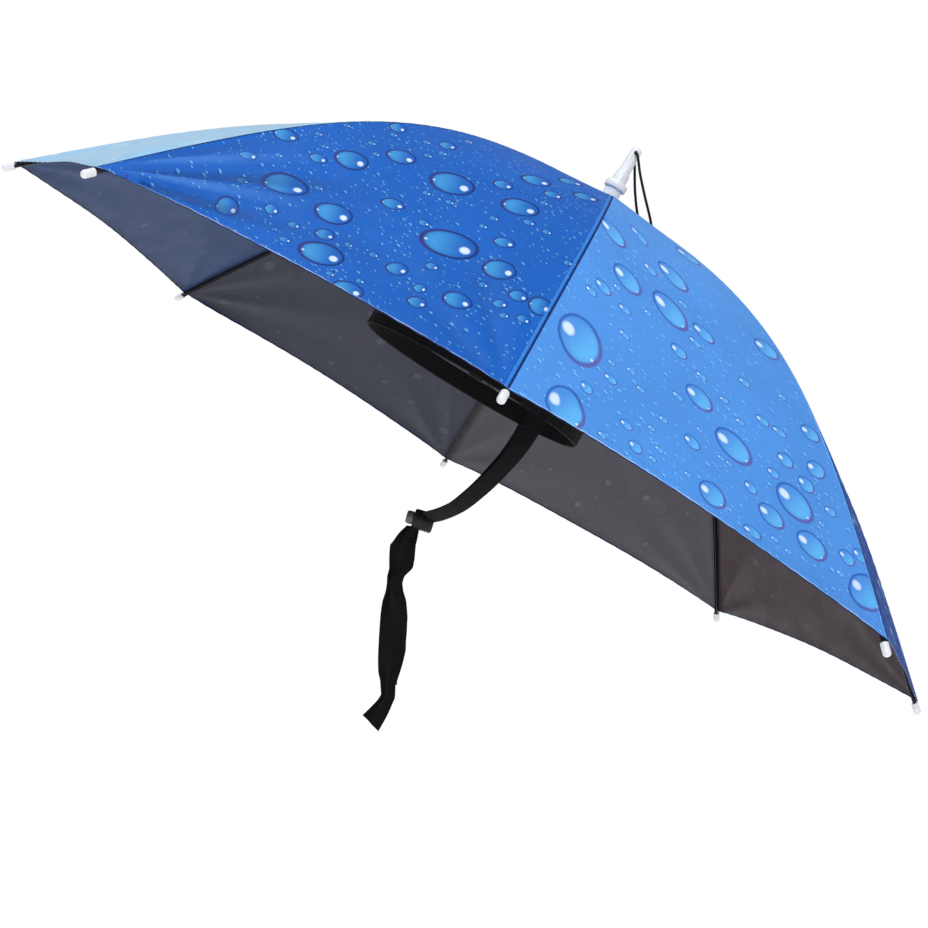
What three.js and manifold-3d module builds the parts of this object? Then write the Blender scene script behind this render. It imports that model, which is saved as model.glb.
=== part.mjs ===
// Umbrella hat, worn: eight cloth panels on a ribbed frame, carried above the head by a
// short post, a cradle over the crown and an elastic band round the forehead, with a chin
// strap, its lock and two hanging strap ends.
// Millimetres, +Z up, the wearer faces -Y. The origin is the centre of the head band.

import * as THREE from 'three';
import { mergeVertices } from 'three/addons/utils/BufferGeometryUtils.js';
import Module from 'manifold-3d';

const wasm = await Module();
wasm.setup();

// Canopy
const leanBack = 30.7;            // degrees, the worn hat tips back over the head
const panelCount = 8;
const ribLength = 452;            // along the cloth, from the middle to the end of a tip cap
const slopeAtHub = 9.2;           // degrees below the hat's own level
const slopeAtTip = 43;
const bendPlace = 0.426;          // share of the rib where it bends most
const bendSpread = 0.288;         // share of the rib over which it bends
const apexHeight = 164;           // top of the cloth above the head band's middle
const canopySetBack = 16.5;       // the frame's post stands behind the middle of the band
const clothWall = 1;
const hemScallop = 7;             // how far the hem curves in, halfway between two tips
const clearance = 0.3;            // between pieces that touch

// Frame
const ribWidth = 2.4;
const ribHeight = 2.4;
const capRadius = 2.6;
const capLength = 9.5;
const capSocketDepth = 4;
const capNose = 2.2;
const hubRadius = 12;
const hubHeight = 9;
const postRadius = 4.5;
const runnerRadius = 13;
const runnerHeight = 9;
const runnerCollarRadius = 8;
const runnerDrop = 31;            // top of the runner below the top of the cloth
const stretcherWidth = 2.2;
const stretcherHeight = 2.2;
const stretcherPlace = 0.4;       // share of the rib where the stretcher holds it
const sparePost = 9;              // bare post between the runner and the cradle

// Finial and its hanging loop
const finialNeckRadius = 6.4;
const finialFlangeRadius = 8.4;
const finialShoulderRadius = 5.8;
const finialStemRadius = 4.4;
const finialFlangeHeight = 8;     // underside of the flange above the top of the cloth
const finialFlangeThickness = 5;
const finialShoulderHeight = 9;
const finialHeight = 43;
const finialEdge = 1;             // height of the bevels on the flange and the shoulder
const finialShoulderTaper = 0.6;
const finialStemTaper = 0.4;
const finialNoseHeight = 2;
const finialNoseRadius = 2.6;
const loopCordDiameter = 2;
const loopHoleDrop = 4.5;         // hole below the finial's top

// Head band and cradle
const bandLength = 177;           // outside, front to back
const bandBreadth = 148;
const bandHeight = 14;
const bandWall = 1.6;
const cradleDiscRadius = 16;
const cradleDiscThickness = 3;
const cradleArmWidth = 12;
const cradleArmThickness = 1.6;

// Chin strap, lock and strap ends
const strapWidth = 12;
const strapThickness = 1.4;
const strapSetBack = 52;          // where the strap leaves the band, behind the band's middle
const jawHalfWidth = 61;
const lockRadius = 7.4;
const lockLength = 15;
const lockEdge = 1.4;
const lockPlace = new THREE.Vector3(0, -38, -104.5);
const lockTilt = 16;              // degrees, button end up
const strapEntryBack = 3;         // where the strap's sides enter the lock, behind its middle
const strapEntryRise = 2.5;       // and above it
const tailForward = 5;            // where the strap ends leave the lock, before its middle
const buttonRadius = 4.8;
const buttonLength = 5;
const buttonEdge = 1.2;
const tailWidth = 20;
const tailThickness = 1;
const tailGap = 0.6;              // between the two hanging ribbons
const longTailDrop = 145;
const shortTailDrop = 112;
const longTailSwing = 33;         // how far forward the long end's tip hangs

// Finial loop: points chosen by hand, from the top of the cloth, along the post's axis
const loopPoints = [
  [0.2, 0, 38.5], [2.6, 0, 38.5], [5, 0, 38.5], [7.4, 1.3, 37.4], [8.4, 4, 34], [7.4, 10, 26.5],
  [5, 21, 15], [1.5, 33, 3.5], [-3, 41.5, -4.6], [-8.5, 49.5, -7.9], [-14, 57.5, -10],
  [-20, 67, -12.5], [-28, 76.5, -15.5], [-36.5, 83, -18], [-45, 84.5, -19.3], [-50.5, 79, -18.4],
  [-49, 70, -16], [-42, 60.5, -13.1], [-34, 50.5, -10.2], [-25.5, 39, -6.6], [-17.5, 26, 3.5],
  [-12, 15, 16.5], [-9.2, 6.5, 29.5], [-7.8, 1.8, 37], [-5, 0, 38.5], [-2.6, 0, 38.5],
  [-0.2, 0, 38.5],
];

// Strap beside the face, from the band to the lock: shares of the jaw's half width, of the
// way forward and of the way down
const strapPath = [
  { out: 0.97, forward: 0, down: 0 },
  { out: 1.0, forward: 0.09, down: 0.17 },
  { out: 1.0, forward: 0.2, down: 0.34 },
  { out: 0.94, forward: 0.32, down: 0.49 },
  { out: 0.84, forward: 0.44, down: 0.63 },
  { out: 0.7, forward: 0.57, down: 0.76 },
  { out: 0.53, forward: 0.71, down: 0.88 },
  { out: 0.34, forward: 0.86, down: 0.96 },
];

// Hanging strap ends: shares of the long end's drop, of its swing forward and of the ribbon's
// width, and the ribbon's turn about its length in degrees
const tailPath = [
  { down: 0, forward: 0, turn: 20, width: 0.36 },
  { down: 0.05, forward: 0.09, turn: 26, width: 0.62 },
  { down: 0.14, forward: 0.27, turn: 30, width: 0.98 },
  { down: 0.22, forward: 0.29, turn: 36, width: 1 },
  { down: 0.3, forward: 0.41, turn: 58, width: 0.9 },
  { down: 0.42, forward: 0.39, turn: 30, width: 1 },
  { down: 0.55, forward: 0.44, turn: 4, width: 1 },
  { down: 0.63, forward: 0.48, turn: 4, width: 1 },
  { down: 0.77, forward: 0.58, turn: 50, width: 0.85 },
  { down: 0.86, forward: 0.59, turn: 62, width: 0.8 },
  { down: 0.93, forward: 0.76, turn: 40, width: 0.95 },
  { down: 1, forward: 1, turn: 34, width: 1 },
];

const radians = THREE.MathUtils.degToRad;
const halfPanel = Math.PI / panelCount;
const hat = new THREE.Group();
const crown = new THREE.Group();
crown.rotation.x = -radians(leanBack);
hat.add(crown);
const canopy = new THREE.Group();
canopy.position.set(0, canopySetBack, apexHeight);
crown.add(canopy);

function finish(color, roughness, metalness = 0) {
  return new THREE.MeshStandardMaterial({ color, roughness, metalness });
}

const clothMaterial = finish(0x2a6fd0, 0.55);
const ribMaterial = finish(0x15161a, 0.4, 0.6);
const webbingMaterial = finish(0x0b0b0d, 0.9);
const whitePlastic = finish(0xf2f3f6, 0.35);
const blackPlastic = finish(0x141416, 0.5);
const greyPlastic = finish(0x55565a, 0.45);

// Adds a named mesh to a group
function place(group, name, geometry, material) {
  const mesh = new THREE.Mesh(geometry, material);
  mesh.name = name;
  group.add(mesh);
  return mesh;
}

// Six times the volume inside a triangle mesh, negative when its faces point inward
function signedVolume(points, faces) {
  let sum = 0;
  for (const [a, b, c] of faces) {
    sum += points[a].dot(new THREE.Vector3().crossVectors(points[b], points[c]));
  }
  return sum;
}

// Closed solid through sections with the same number of points. The ends are closed by
// strips between a section's first and last half; a ring joins its last section to its first.
function loft(sections, ring = false) {
  const size = sections[0].length;
  const points = sections.flat();
  const faces = [];
  const spans = ring ? sections.length : sections.length - 1;
  for (let i = 0; i < spans; i += 1) {
    const near = i * size;
    const far = ((i + 1) % sections.length) * size;
    for (let j = 0; j < size; j += 1) {
      const next = (j + 1) % size;
      faces.push([near + j, near + next, far + next], [near + j, far + next, far + j]);
    }
  }
  if (!ring) {
    const last = (sections.length - 1) * size;
    for (let j = 0; j < size / 2 - 1; j += 1) {
      const mirror = size - 1 - j;
      faces.push([j, mirror, mirror - 1], [j, mirror - 1, j + 1]);
      faces.push([last + j, last + j + 1, last + mirror - 1]);
      faces.push([last + j, last + mirror - 1, last + mirror]);
    }
  }
  if (signedVolume(points, faces) < 0) {
    faces.forEach((face) => face.reverse());
  }
  const geometry = new THREE.BufferGeometry().setFromPoints(points);
  geometry.setIndex(faces.flat());
  geometry.computeVertexNormals();
  return geometry;
}

// Turned solid about +Z from rows of radius and height that start and end on the axis
const turnedSides = 16;

function turned(rows, sides = turnedSides) {
  const profile = rows.map(([radius, height]) => new THREE.Vector2(radius, height));
  return new THREE.LatheGeometry(profile, sides).rotateX(Math.PI / 2);
}

function disc(radius, bottom, top) {
  return turned([[0, bottom], [radius, bottom], [radius, top], [0, top]]);
}

// Smooth open curve through points
function routeThrough(points) {
  return new THREE.CatmullRomCurve3(points, false, 'centripetal');
}

// Rectangle of four points about a centre, from its width and thickness directions
function rectangle(centre, across, width, through, thickness) {
  const corners = [[1, 1], [-1, 1], [-1, -1], [1, -1]];
  return corners.map(([a, b]) => centre.clone()
    .addScaledVector(across, (a * width) / 2)
    .addScaledVector(through, (b * thickness) / 2));
}

// Rib line of the cloth in a rib's own plane: radius, height and slope at each share of its
// length. The slope turns from that at the hub to that at the tip.
const ribSteps = 240;

function slopeAt(share) {
  const bend = (s) => Math.tanh((s - bendPlace) / bendSpread);
  const turn = (bend(share) - bend(0)) / (bend(1) - bend(0));
  return radians(slopeAtHub + (slopeAtTip - slopeAtHub) * turn);
}

const ribLine = [{ radius: 0, height: 0 }];
for (let i = 0; i < ribSteps; i += 1) {
  const slope = slopeAt((i + 0.5) / ribSteps);
  ribLine.push({
    radius: ribLine[i].radius + (ribLength / ribSteps) * Math.cos(slope),
    height: ribLine[i].height - (ribLength / ribSteps) * Math.sin(slope),
  });
}

function ribAt(share) {
  const step = Math.min(share * ribSteps, ribSteps - 1e-6);
  const low = ribLine[Math.floor(step)];
  const high = ribLine[Math.floor(step) + 1];
  const part = step - Math.floor(step);
  return {
    radius: THREE.MathUtils.lerp(low.radius, high.radius, part),
    height: THREE.MathUtils.lerp(low.height, high.height, part),
    slope: slopeAt(share),
  };
}

// Point below the cloth's rib line, square to it
function belowRib(share, depth) {
  const { radius, height, slope } = ribAt(share);
  return new THREE.Vector3(radius - depth * Math.sin(slope), 0, height - depth * Math.cos(slope));
}

const clothHoleInset = clothWall * Math.sin(radians(slopeAtHub));
const clothHoleRadius = (finialNeckRadius + clearance + clothHoleInset) / Math.cos(halfPanel);
const clothStart = clothHoleRadius / ribLength;
const clothEnd = 1 - capLength / ribLength;

// One gore of the canopy, flat across between its two ribs, with its middle along +X
const panelRows = 12;
const panelColumns = 4;

function panelGeometry() {
  const sections = [];
  for (let column = 0; column <= panelColumns; column += 1) {
    const across = (2 * column) / panelColumns - 1;
    const hem = clothEnd - (hemScallop * (1 - across * across)) / ribLength;
    const outer = [];
    const inner = [];
    for (let row = 0; row <= panelRows; row += 1) {
      const { radius, height, slope } = ribAt(THREE.MathUtils.lerp(clothStart, hem, row / panelRows));
      const middle = radius * Math.cos(halfPanel);
      const fall = Math.atan(Math.tan(slope) / Math.cos(halfPanel));
      const point = (depth) => {
        const out = middle - depth * Math.sin(fall);
        const halfWidth = out * Math.tan(halfPanel) - clearance / 2 / Math.cos(halfPanel);
        return new THREE.Vector3(out, across * halfWidth, height - depth * Math.cos(fall));
      };
      outer.push(point(0));
      inner.unshift(point(clothWall));
    }
    sections.push([...outer, ...inner]);
  }
  return loft(sections);
}

// A rib lies under the seam between two panels, low enough for its corners to clear them
const seamFall = Math.asin(Math.sin(halfPanel) * Math.sin(radians(slopeAtTip)));
const ribDepth = clothWall / Math.cos(seamFall) + clearance + ribHeight / 2
  + (ribWidth / 2) * Math.tan(seamFall);
const ribInset = (ribDepth + ribHeight / 2) * Math.sin(slopeAt((hubRadius + ribDepth) / ribLength));
const ribStart = (hubRadius + clearance + ribInset) / (ribLength * Math.cos(radians(slopeAtHub)));
const ribEnd = clothEnd + (capSocketDepth - clearance) / ribLength;
const ribSections = 14;

function ribGeometry() {
  const across = new THREE.Vector3(0, 1, 0);
  const sections = [];
  for (let i = 0; i <= ribSections; i += 1) {
    const share = THREE.MathUtils.lerp(ribStart, ribEnd, i / ribSections);
    const up = new THREE.Vector3(Math.sin(slopeAt(share)), 0, Math.cos(slopeAt(share)));
    sections.push(rectangle(belowRib(share, ribDepth), across, ribWidth, up, ribHeight));
  }
  return loft(sections);
}

// Plastic cap on the rib's end, with a socket for the rib
const socketRadius = Math.hypot(ribWidth, ribHeight) / 2 + clearance;
const capSides = 12;

function capGeometry() {
  const rows = [[0, capSocketDepth], [socketRadius, capSocketDepth], [socketRadius, clearance]];
  rows.push([capRadius, clearance], [capRadius, capLength - capNose]);
  const noseSteps = 3;
  for (let i = 1; i <= noseSteps; i += 1) {
    const angle = (i / noseSteps) * (Math.PI / 2);
    rows.push([capRadius * Math.cos(angle), capLength - capNose + capNose * Math.sin(angle)]);
  }
  rows[rows.length - 1][0] = 0;
  return turned(rows, capSides);
}

// Stretcher from the runner's rim to the underside of the rib
const runnerBottom = -runnerDrop - runnerHeight;

function stretcherGeometry() {
  const inner = new THREE.Vector3(runnerRadius + clearance, 0, runnerBottom + stretcherHeight);
  const depth = ribDepth + ribHeight / 2 + clearance + stretcherHeight / 2;
  const outer = belowRib(stretcherPlace, depth);
  const along = new THREE.Vector3().subVectors(outer, inner).normalize();
  const across = new THREE.Vector3(0, 1, 0);
  const up = new THREE.Vector3().crossVectors(along, across);
  return loft([inner, outer].map((end) => rectangle(end, across, stretcherWidth, up, stretcherHeight)));
}

const panel = panelGeometry();
const rib = ribGeometry();
const cap = capGeometry();
const stretcher = stretcherGeometry();
for (let i = 0; i < panelCount; i += 1) {
  const spoke = new THREE.Group();
  spoke.rotation.z = -Math.PI / 2 + 2 * halfPanel * i;
  canopy.add(spoke);
  place(spoke, `canopy_panel_${i + 1}`, panel, clothMaterial).rotation.z = halfPanel;
  place(spoke, `rib_${i + 1}`, rib, ribMaterial);
  place(spoke, `stretcher_${i + 1}`, stretcher, ribMaterial);
  const tip = place(spoke, `tip_cap_${i + 1}`, cap, whitePlastic);
  tip.position.copy(belowRib(clothEnd, ribDepth));
  tip.rotation.y = Math.PI / 2 + slopeAt(clothEnd);
}

// Hub under the cloth, post below it and runner round the post
const hubTop = belowRib(hubRadius / ribLength, clothWall + clearance).z - clearance;
const hubBottom = hubTop - hubHeight;
place(canopy, 'hub', disc(hubRadius, hubBottom, hubTop), blackPlastic);

const postTop = hubBottom - clearance;
const postBottom = runnerBottom - sparePost + clearance;
place(canopy, 'post', disc(postRadius, postBottom, postTop), ribMaterial);

const runnerBore = postRadius + clearance;
const runnerFlangeTop = runnerBottom + 2 * stretcherHeight;
const runner = turned([
  [runnerBore, runnerBottom], [runnerRadius, runnerBottom], [runnerRadius, runnerFlangeTop],
  [runnerCollarRadius, runnerFlangeTop], [runnerCollarRadius, -runnerDrop], [runnerBore, -runnerDrop],
  [runnerBore, runnerBottom],
]);
place(canopy, 'runner', runner, blackPlastic);

// Manifold solid from a closed geometry, and back
function solidOf(geometry) {
  const bare = geometry.clone();
  bare.deleteAttribute('normal');
  bare.deleteAttribute('uv');
  const merged = mergeVertices(bare);
  return new wasm.Manifold(new wasm.Mesh({
    numProp: 3,
    vertProperties: merged.attributes.position.array,
    triVerts: Uint32Array.from(merged.index.array),
  }));
}

function geometryOf(solid) {
  const mesh = solid.getMesh();
  const geometry = new THREE.BufferGeometry();
  geometry.setAttribute('position', new THREE.BufferAttribute(mesh.vertProperties, mesh.numProp));
  geometry.setIndex(new THREE.BufferAttribute(mesh.triVerts, 1));
  geometry.computeVertexNormals();
  return geometry;
}

// Finial: a neck through the cloth, a flange, a shoulder and a stem with a hole for the loop
const finialBottom = hubTop + clearance;
const flangeTop = finialFlangeHeight + finialFlangeThickness;
const shoulderTop = flangeTop + finialShoulderHeight;
const finialTurned = turned([
  [0, finialBottom], [finialNeckRadius, finialBottom],
  [finialNeckRadius, finialFlangeHeight - finialEdge],
  [finialFlangeRadius, finialFlangeHeight], [finialFlangeRadius, flangeTop - finialEdge],
  [finialShoulderRadius, flangeTop],
  [finialShoulderRadius - finialShoulderTaper, shoulderTop - finialEdge],
  [finialStemRadius, shoulderTop],
  [finialStemRadius - finialStemTaper, finialHeight - finialNoseHeight],
  [finialNoseRadius, finialHeight], [0, finialHeight],
]);
const holeRadius = loopCordDiameter / 2 + clearance;
const holeSides = 12;
const hole = new THREE.CylinderGeometry(holeRadius, holeRadius, 4 * finialStemRadius, holeSides)
  .rotateZ(Math.PI / 2)
  .translate(0, 0, finialHeight - loopHoleDrop);
place(canopy, 'finial', geometryOf(solidOf(finialTurned).subtract(solidOf(hole))), whitePlastic);

// Loop of thin elastic cord through the finial's hole, hanging back on to the cloth
const loopRoute = routeThrough(loopPoints.map((p) => new THREE.Vector3(...p)));
const cordSection = new THREE.Shape();
cordSection.absarc(0, 0, loopCordDiameter / 2, 0, 2 * Math.PI);
const cordSteps = { steps: 72, curveSegments: 4, extrudePath: loopRoute };
place(canopy, 'finial_loop', new THREE.ExtrudeGeometry(cordSection, cordSteps), webbingMaterial);

// Head band: an upright oval strip
const bandSteps = 48;
const bandHalfBreadth = (bandBreadth - bandWall) / 2;
const bandHalfLength = (bandLength - bandWall) / 2;
const level = new THREE.Vector3(0, 0, 1);

function bandPoint(angle, height) {
  return new THREE.Vector3(bandHalfBreadth * Math.sin(angle), -bandHalfLength * Math.cos(angle), height);
}

const bandSections = [];
for (let i = 0; i < bandSteps; i += 1) {
  const angle = (2 * Math.PI * i) / bandSteps;
  const out = new THREE.Vector3(bandHalfLength * Math.sin(angle), -bandHalfBreadth * Math.cos(angle), 0);
  bandSections.push(rectangle(bandPoint(angle, 0), out.normalize(), bandWall, level, bandHeight));
}
place(crown, 'head_band', loft(bandSections, true), webbingMaterial);

// Cradle over the crown: a disc under the post and four arms down to the band, one piece
const armCount = 4;
const armSteps = 9;
const armFoot = bandHeight / 2 + clearance;
const discTop = apexHeight + postBottom - clearance;
const discMiddle = discTop - cradleDiscThickness / 2;

function armGeometry(angle) {
  const top = new THREE.Vector3(0, canopySetBack, discMiddle);
  const foot = bandPoint(angle, armFoot);
  const reach = new THREE.Vector3(foot.x - top.x, foot.y - top.y, 0);
  const across = new THREE.Vector3().crossVectors(level, reach).normalize();
  const start = Math.asin(cradleDiscRadius / 2 / reach.length());
  const sections = [];
  for (let i = 0; i <= armSteps; i += 1) {
    const turn = THREE.MathUtils.lerp(start, Math.PI / 2, i / armSteps);
    const centre = top.clone().addScaledVector(reach, Math.sin(turn));
    centre.z = armFoot + (discMiddle - armFoot) * Math.cos(turn);
    const along = reach.clone().multiplyScalar(Math.cos(turn));
    along.z = -(discMiddle - armFoot) * Math.sin(turn);
    const through = new THREE.Vector3().crossVectors(along, across).normalize();
    sections.push(rectangle(centre, across, cradleArmWidth, through, cradleArmThickness));
  }
  return loft(sections);
}

const cradleDisc = disc(cradleDiscRadius, discTop - cradleDiscThickness, discTop);
let cradle = solidOf(cradleDisc.translate(0, canopySetBack, 0));
for (let i = 0; i < armCount; i += 1) {
  cradle = cradle.add(solidOf(armGeometry((2 * Math.PI * i) / armCount)));
}
place(crown, 'crown_cradle', geometryOf(cradle), blackPlastic);

// Lock under the chin: a barrel that lies front to back, with a button on its front end
const tilt = radians(lockTilt);
const lock = new THREE.Group();
lock.position.copy(lockPlace);
lock.rotation.x = Math.PI / 2 - tilt;
hat.add(lock);
const halfLock = lockLength / 2;
place(lock, 'strap_lock', turned([
  [0, -halfLock], [lockRadius - lockEdge, -halfLock], [lockRadius, lockEdge - halfLock],
  [lockRadius, halfLock - lockEdge], [lockRadius - lockEdge, halfLock], [0, halfLock],
]), blackPlastic);
const buttonStart = halfLock + clearance;
const buttonEnd = buttonStart + buttonLength;
place(lock, 'lock_button', turned([
  [0, buttonStart], [buttonRadius, buttonStart], [buttonRadius, buttonEnd - buttonEdge],
  [buttonRadius - buttonEdge, buttonEnd], [0, buttonEnd],
]), greyPlastic);

// Chin strap: one ribbon on each side, from the band's lower edge to the lock's side
const strapSections = 18;
const strapAngle = Math.acos(-strapSetBack / bandHalfLength);
const strapTop = bandPoint(strapAngle, -bandHeight / 2 - clearance)
  .applyAxisAngle(new THREE.Vector3(1, 0, 0), -radians(leanBack));
const strapEntry = new THREE.Vector3(lockRadius + clearance, strapEntryBack, strapEntryRise);
const strapEnd = lockPlace.clone().add(strapEntry);

function strapGeometry(side) {
  const points = strapPath.map(({ out, forward, down }) => new THREE.Vector3(
    out * jawHalfWidth,
    THREE.MathUtils.lerp(strapTop.y, strapEnd.y, forward),
    THREE.MathUtils.lerp(strapTop.z, strapEnd.z, down),
  ));
  points[0] = strapTop;
  points.push(strapEnd);
  const route = routeThrough(points);
  const jawMiddle = new THREE.Vector3(0, strapTop.y / 2, strapTop.z);
  const sections = [];
  for (let i = 0; i <= strapSections; i += 1) {
    const centre = route.getPointAt(i / strapSections);
    const along = route.getTangentAt(i / strapSections);
    const out = new THREE.Vector3().subVectors(centre, jawMiddle);
    out.addScaledVector(along, -out.dot(along)).normalize();
    const across = new THREE.Vector3().crossVectors(out, along);
    sections.push(rectangle(centre, across, strapWidth, out, strapThickness));
  }
  const besideLock = (p) => new THREE.Vector3(side * Math.max(p.x, strapEnd.x), p.y, p.z);
  return loft(sections.map((section) => section.map(besideLock)));
}

place(hat, 'chin_strap_left', strapGeometry(1), webbingMaterial);
place(hat, 'chin_strap_right', strapGeometry(-1), webbingMaterial);

// The strap's two ends hang from the lock side by side, turning a little about their length
const tailSections = 32;
const tailRear = tailForward - (tailPath[0].width * tailWidth) / 2;
const lockUnderside = tailRear * Math.tan(tilt) - lockRadius / Math.cos(tilt);
const tailTop = lockPlace.clone().add(new THREE.Vector3(0, -tailForward, lockUnderside - clearance));

function tailAt(share) {
  let row = tailPath.findIndex(({ down }) => down > share);
  if (row < 0) {
    row = tailPath.length - 1;
  }
  const low = tailPath[row - 1];
  const high = tailPath[row];
  const part = (share - low.down) / (high.down - low.down);
  const mix = (key) => THREE.MathUtils.lerp(low[key], high[key], part);
  return {
    forward: mix('forward') * longTailSwing,
    turn: radians(mix('turn')),
    width: mix('width') * tailWidth,
  };
}

function tailGeometry(drop, side) {
  const end = drop / longTailDrop;
  const sections = [];
  for (let i = 0; i < end * tailSections + 1; i += 1) {
    const share = Math.min(i / tailSections, end);
    const { forward, turn, width } = tailAt(share);
    const centre = tailTop.clone().add(new THREE.Vector3(0, -forward, -share * longTailDrop));
    const across = new THREE.Vector3(Math.sin(turn), Math.cos(turn), 0).multiplyScalar(side);
    const out = new THREE.Vector3(Math.cos(turn), -Math.sin(turn), 0);
    centre.addScaledVector(out, (side * (tailThickness + tailGap)) / 2);
    sections.push(rectangle(centre, across, width, out, tailThickness));
  }
  return loft(sections);
}

place(hat, 'strap_end_short', tailGeometry(shortTailDrop, 1), webbingMaterial);
place(hat, 'strap_end_long', tailGeometry(longTailDrop, -1), webbingMaterial);

export default hat;
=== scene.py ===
import math
import random
from collections import namedtuple

import bpy
import numpy as np
from mathutils import Matrix, Vector


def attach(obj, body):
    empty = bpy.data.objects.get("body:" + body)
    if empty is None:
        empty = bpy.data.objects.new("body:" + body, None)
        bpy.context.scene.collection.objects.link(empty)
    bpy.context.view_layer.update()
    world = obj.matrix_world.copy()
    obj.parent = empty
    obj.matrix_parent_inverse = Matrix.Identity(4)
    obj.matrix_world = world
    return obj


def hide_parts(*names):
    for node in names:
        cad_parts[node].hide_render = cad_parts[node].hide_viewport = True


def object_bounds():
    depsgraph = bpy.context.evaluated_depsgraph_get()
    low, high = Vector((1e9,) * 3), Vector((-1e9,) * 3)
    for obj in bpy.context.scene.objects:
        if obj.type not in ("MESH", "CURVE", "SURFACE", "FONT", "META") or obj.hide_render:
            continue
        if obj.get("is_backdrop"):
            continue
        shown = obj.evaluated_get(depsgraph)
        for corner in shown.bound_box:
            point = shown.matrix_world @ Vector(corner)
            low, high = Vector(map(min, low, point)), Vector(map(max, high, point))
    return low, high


# Umbrella hat, worn: the looks of its cloth, frame, plastic pieces, elastic and ribbon.
# Metres, +Z up, the wearer faces -Y, and the origin is the centre of the head band.

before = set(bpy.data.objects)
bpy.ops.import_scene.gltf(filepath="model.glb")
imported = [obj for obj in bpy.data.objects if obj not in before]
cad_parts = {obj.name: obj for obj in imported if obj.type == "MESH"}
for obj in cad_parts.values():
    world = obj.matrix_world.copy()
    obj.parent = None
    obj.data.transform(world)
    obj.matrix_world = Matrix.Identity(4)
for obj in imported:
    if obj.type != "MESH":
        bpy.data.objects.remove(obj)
cad_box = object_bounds()

# Canopy sizes, with slopes in degrees and the bend's place and spread as shares of a rib
LEAN_BACK = math.radians(30.7)
PANELS = 8
HALF_PANEL = math.pi / PANELS
RIB_LENGTH = 0.452
SLOPE_AT_HUB = 9.2
SLOPE_AT_TIP = 43
BEND_PLACE = 0.426
BEND_SPREAD = 0.288
APEX = Vector((0, 0.0165, 0.164))
CLOTH = 0.00045
CLOTH_HOLE = 0.0073
CAP_LENGTH = 0.0095
HEM_SCALLOP = 0.007
SEAM_GAP = 0.0003
SEAM_FLANGE = 0.0010

# Camera of the photograph, with its picture of 928 by 928 pixels
PICTURE = 928
SENSOR = 36
LENS = 73.92
FOCAL = LENS / SENSOR * PICTURE
CAMERA_AZIMUTH = math.radians(87.07)
CAMERA_ELEVATION = math.radians(-2.60)
CAMERA_PLACE = Vector((1.3822, -0.0792, -0.1259))

CROWN = Matrix.Rotation(-LEAN_BACK, 4, "X")
CANOPY = CROWN @ Matrix.Translation(APEX)


def make_camera():
    forward = Vector((
        -math.sin(CAMERA_AZIMUTH) * math.cos(CAMERA_ELEVATION),
        math.cos(CAMERA_AZIMUTH) * math.cos(CAMERA_ELEVATION),
        -math.sin(CAMERA_ELEVATION),
    ))
    data = bpy.data.cameras.new("camera")
    data.sensor_width = SENSOR
    data.lens = LENS
    camera = bpy.data.objects.new("camera", data)
    camera.location = CAMERA_PLACE
    camera.rotation_euler = forward.to_track_quat("-Z", "Y").to_euler()
    bpy.context.scene.collection.objects.link(camera)
    bpy.context.scene.camera = camera
    right = forward.cross(Vector((0, 0, 1))).normalized()
    return forward, right, right.cross(forward)


FORWARD, RIGHT, UP = make_camera()


# Shaders

class Value:
    """What a node gives out, with the arithmetic of math nodes."""

    def __init__(self, shader, socket):
        self.shader = shader
        self.socket = socket

    def apply(self, operation, *others):
        inputs = dict(enumerate((self, *others)))
        return self.shader.node("Math", inputs, operation=operation)

    def __add__(self, other):
        return self.apply("ADD", other)

    def __sub__(self, other):
        return self.apply("SUBTRACT", other)

    def __mul__(self, other):
        return self.apply("MULTIPLY", other)

    def __truediv__(self, other):
        return self.apply("DIVIDE", other)

    def __iter__(self):
        """Its x, y and z."""
        outputs = self.shader.make("SeparateXYZ", {0: self}).outputs
        return iter([Value(self.shader, socket) for socket in outputs])

    def or_more(self, other):
        return self.apply("MAXIMUM", other)

    def ramp(self, low, high, start=0.0, end=1.0):
        """From start to end as the value goes from low to high, smoothly."""
        inputs = {"Value": self, "From Min": low, "From Max": high, "To Min": start, "To Max": end}
        return self.shader.node("MapRange", inputs, interpolation_type="SMOOTHSTEP")

    def wave(self, pitch):
        """A sine of that pitch, from 0 to 1."""
        return (self * (2 * math.pi / pitch)).apply("SINE") * 0.5 + 0.5


def length(x, y):
    return (x * x + y * y).apply("SQRT")


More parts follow.
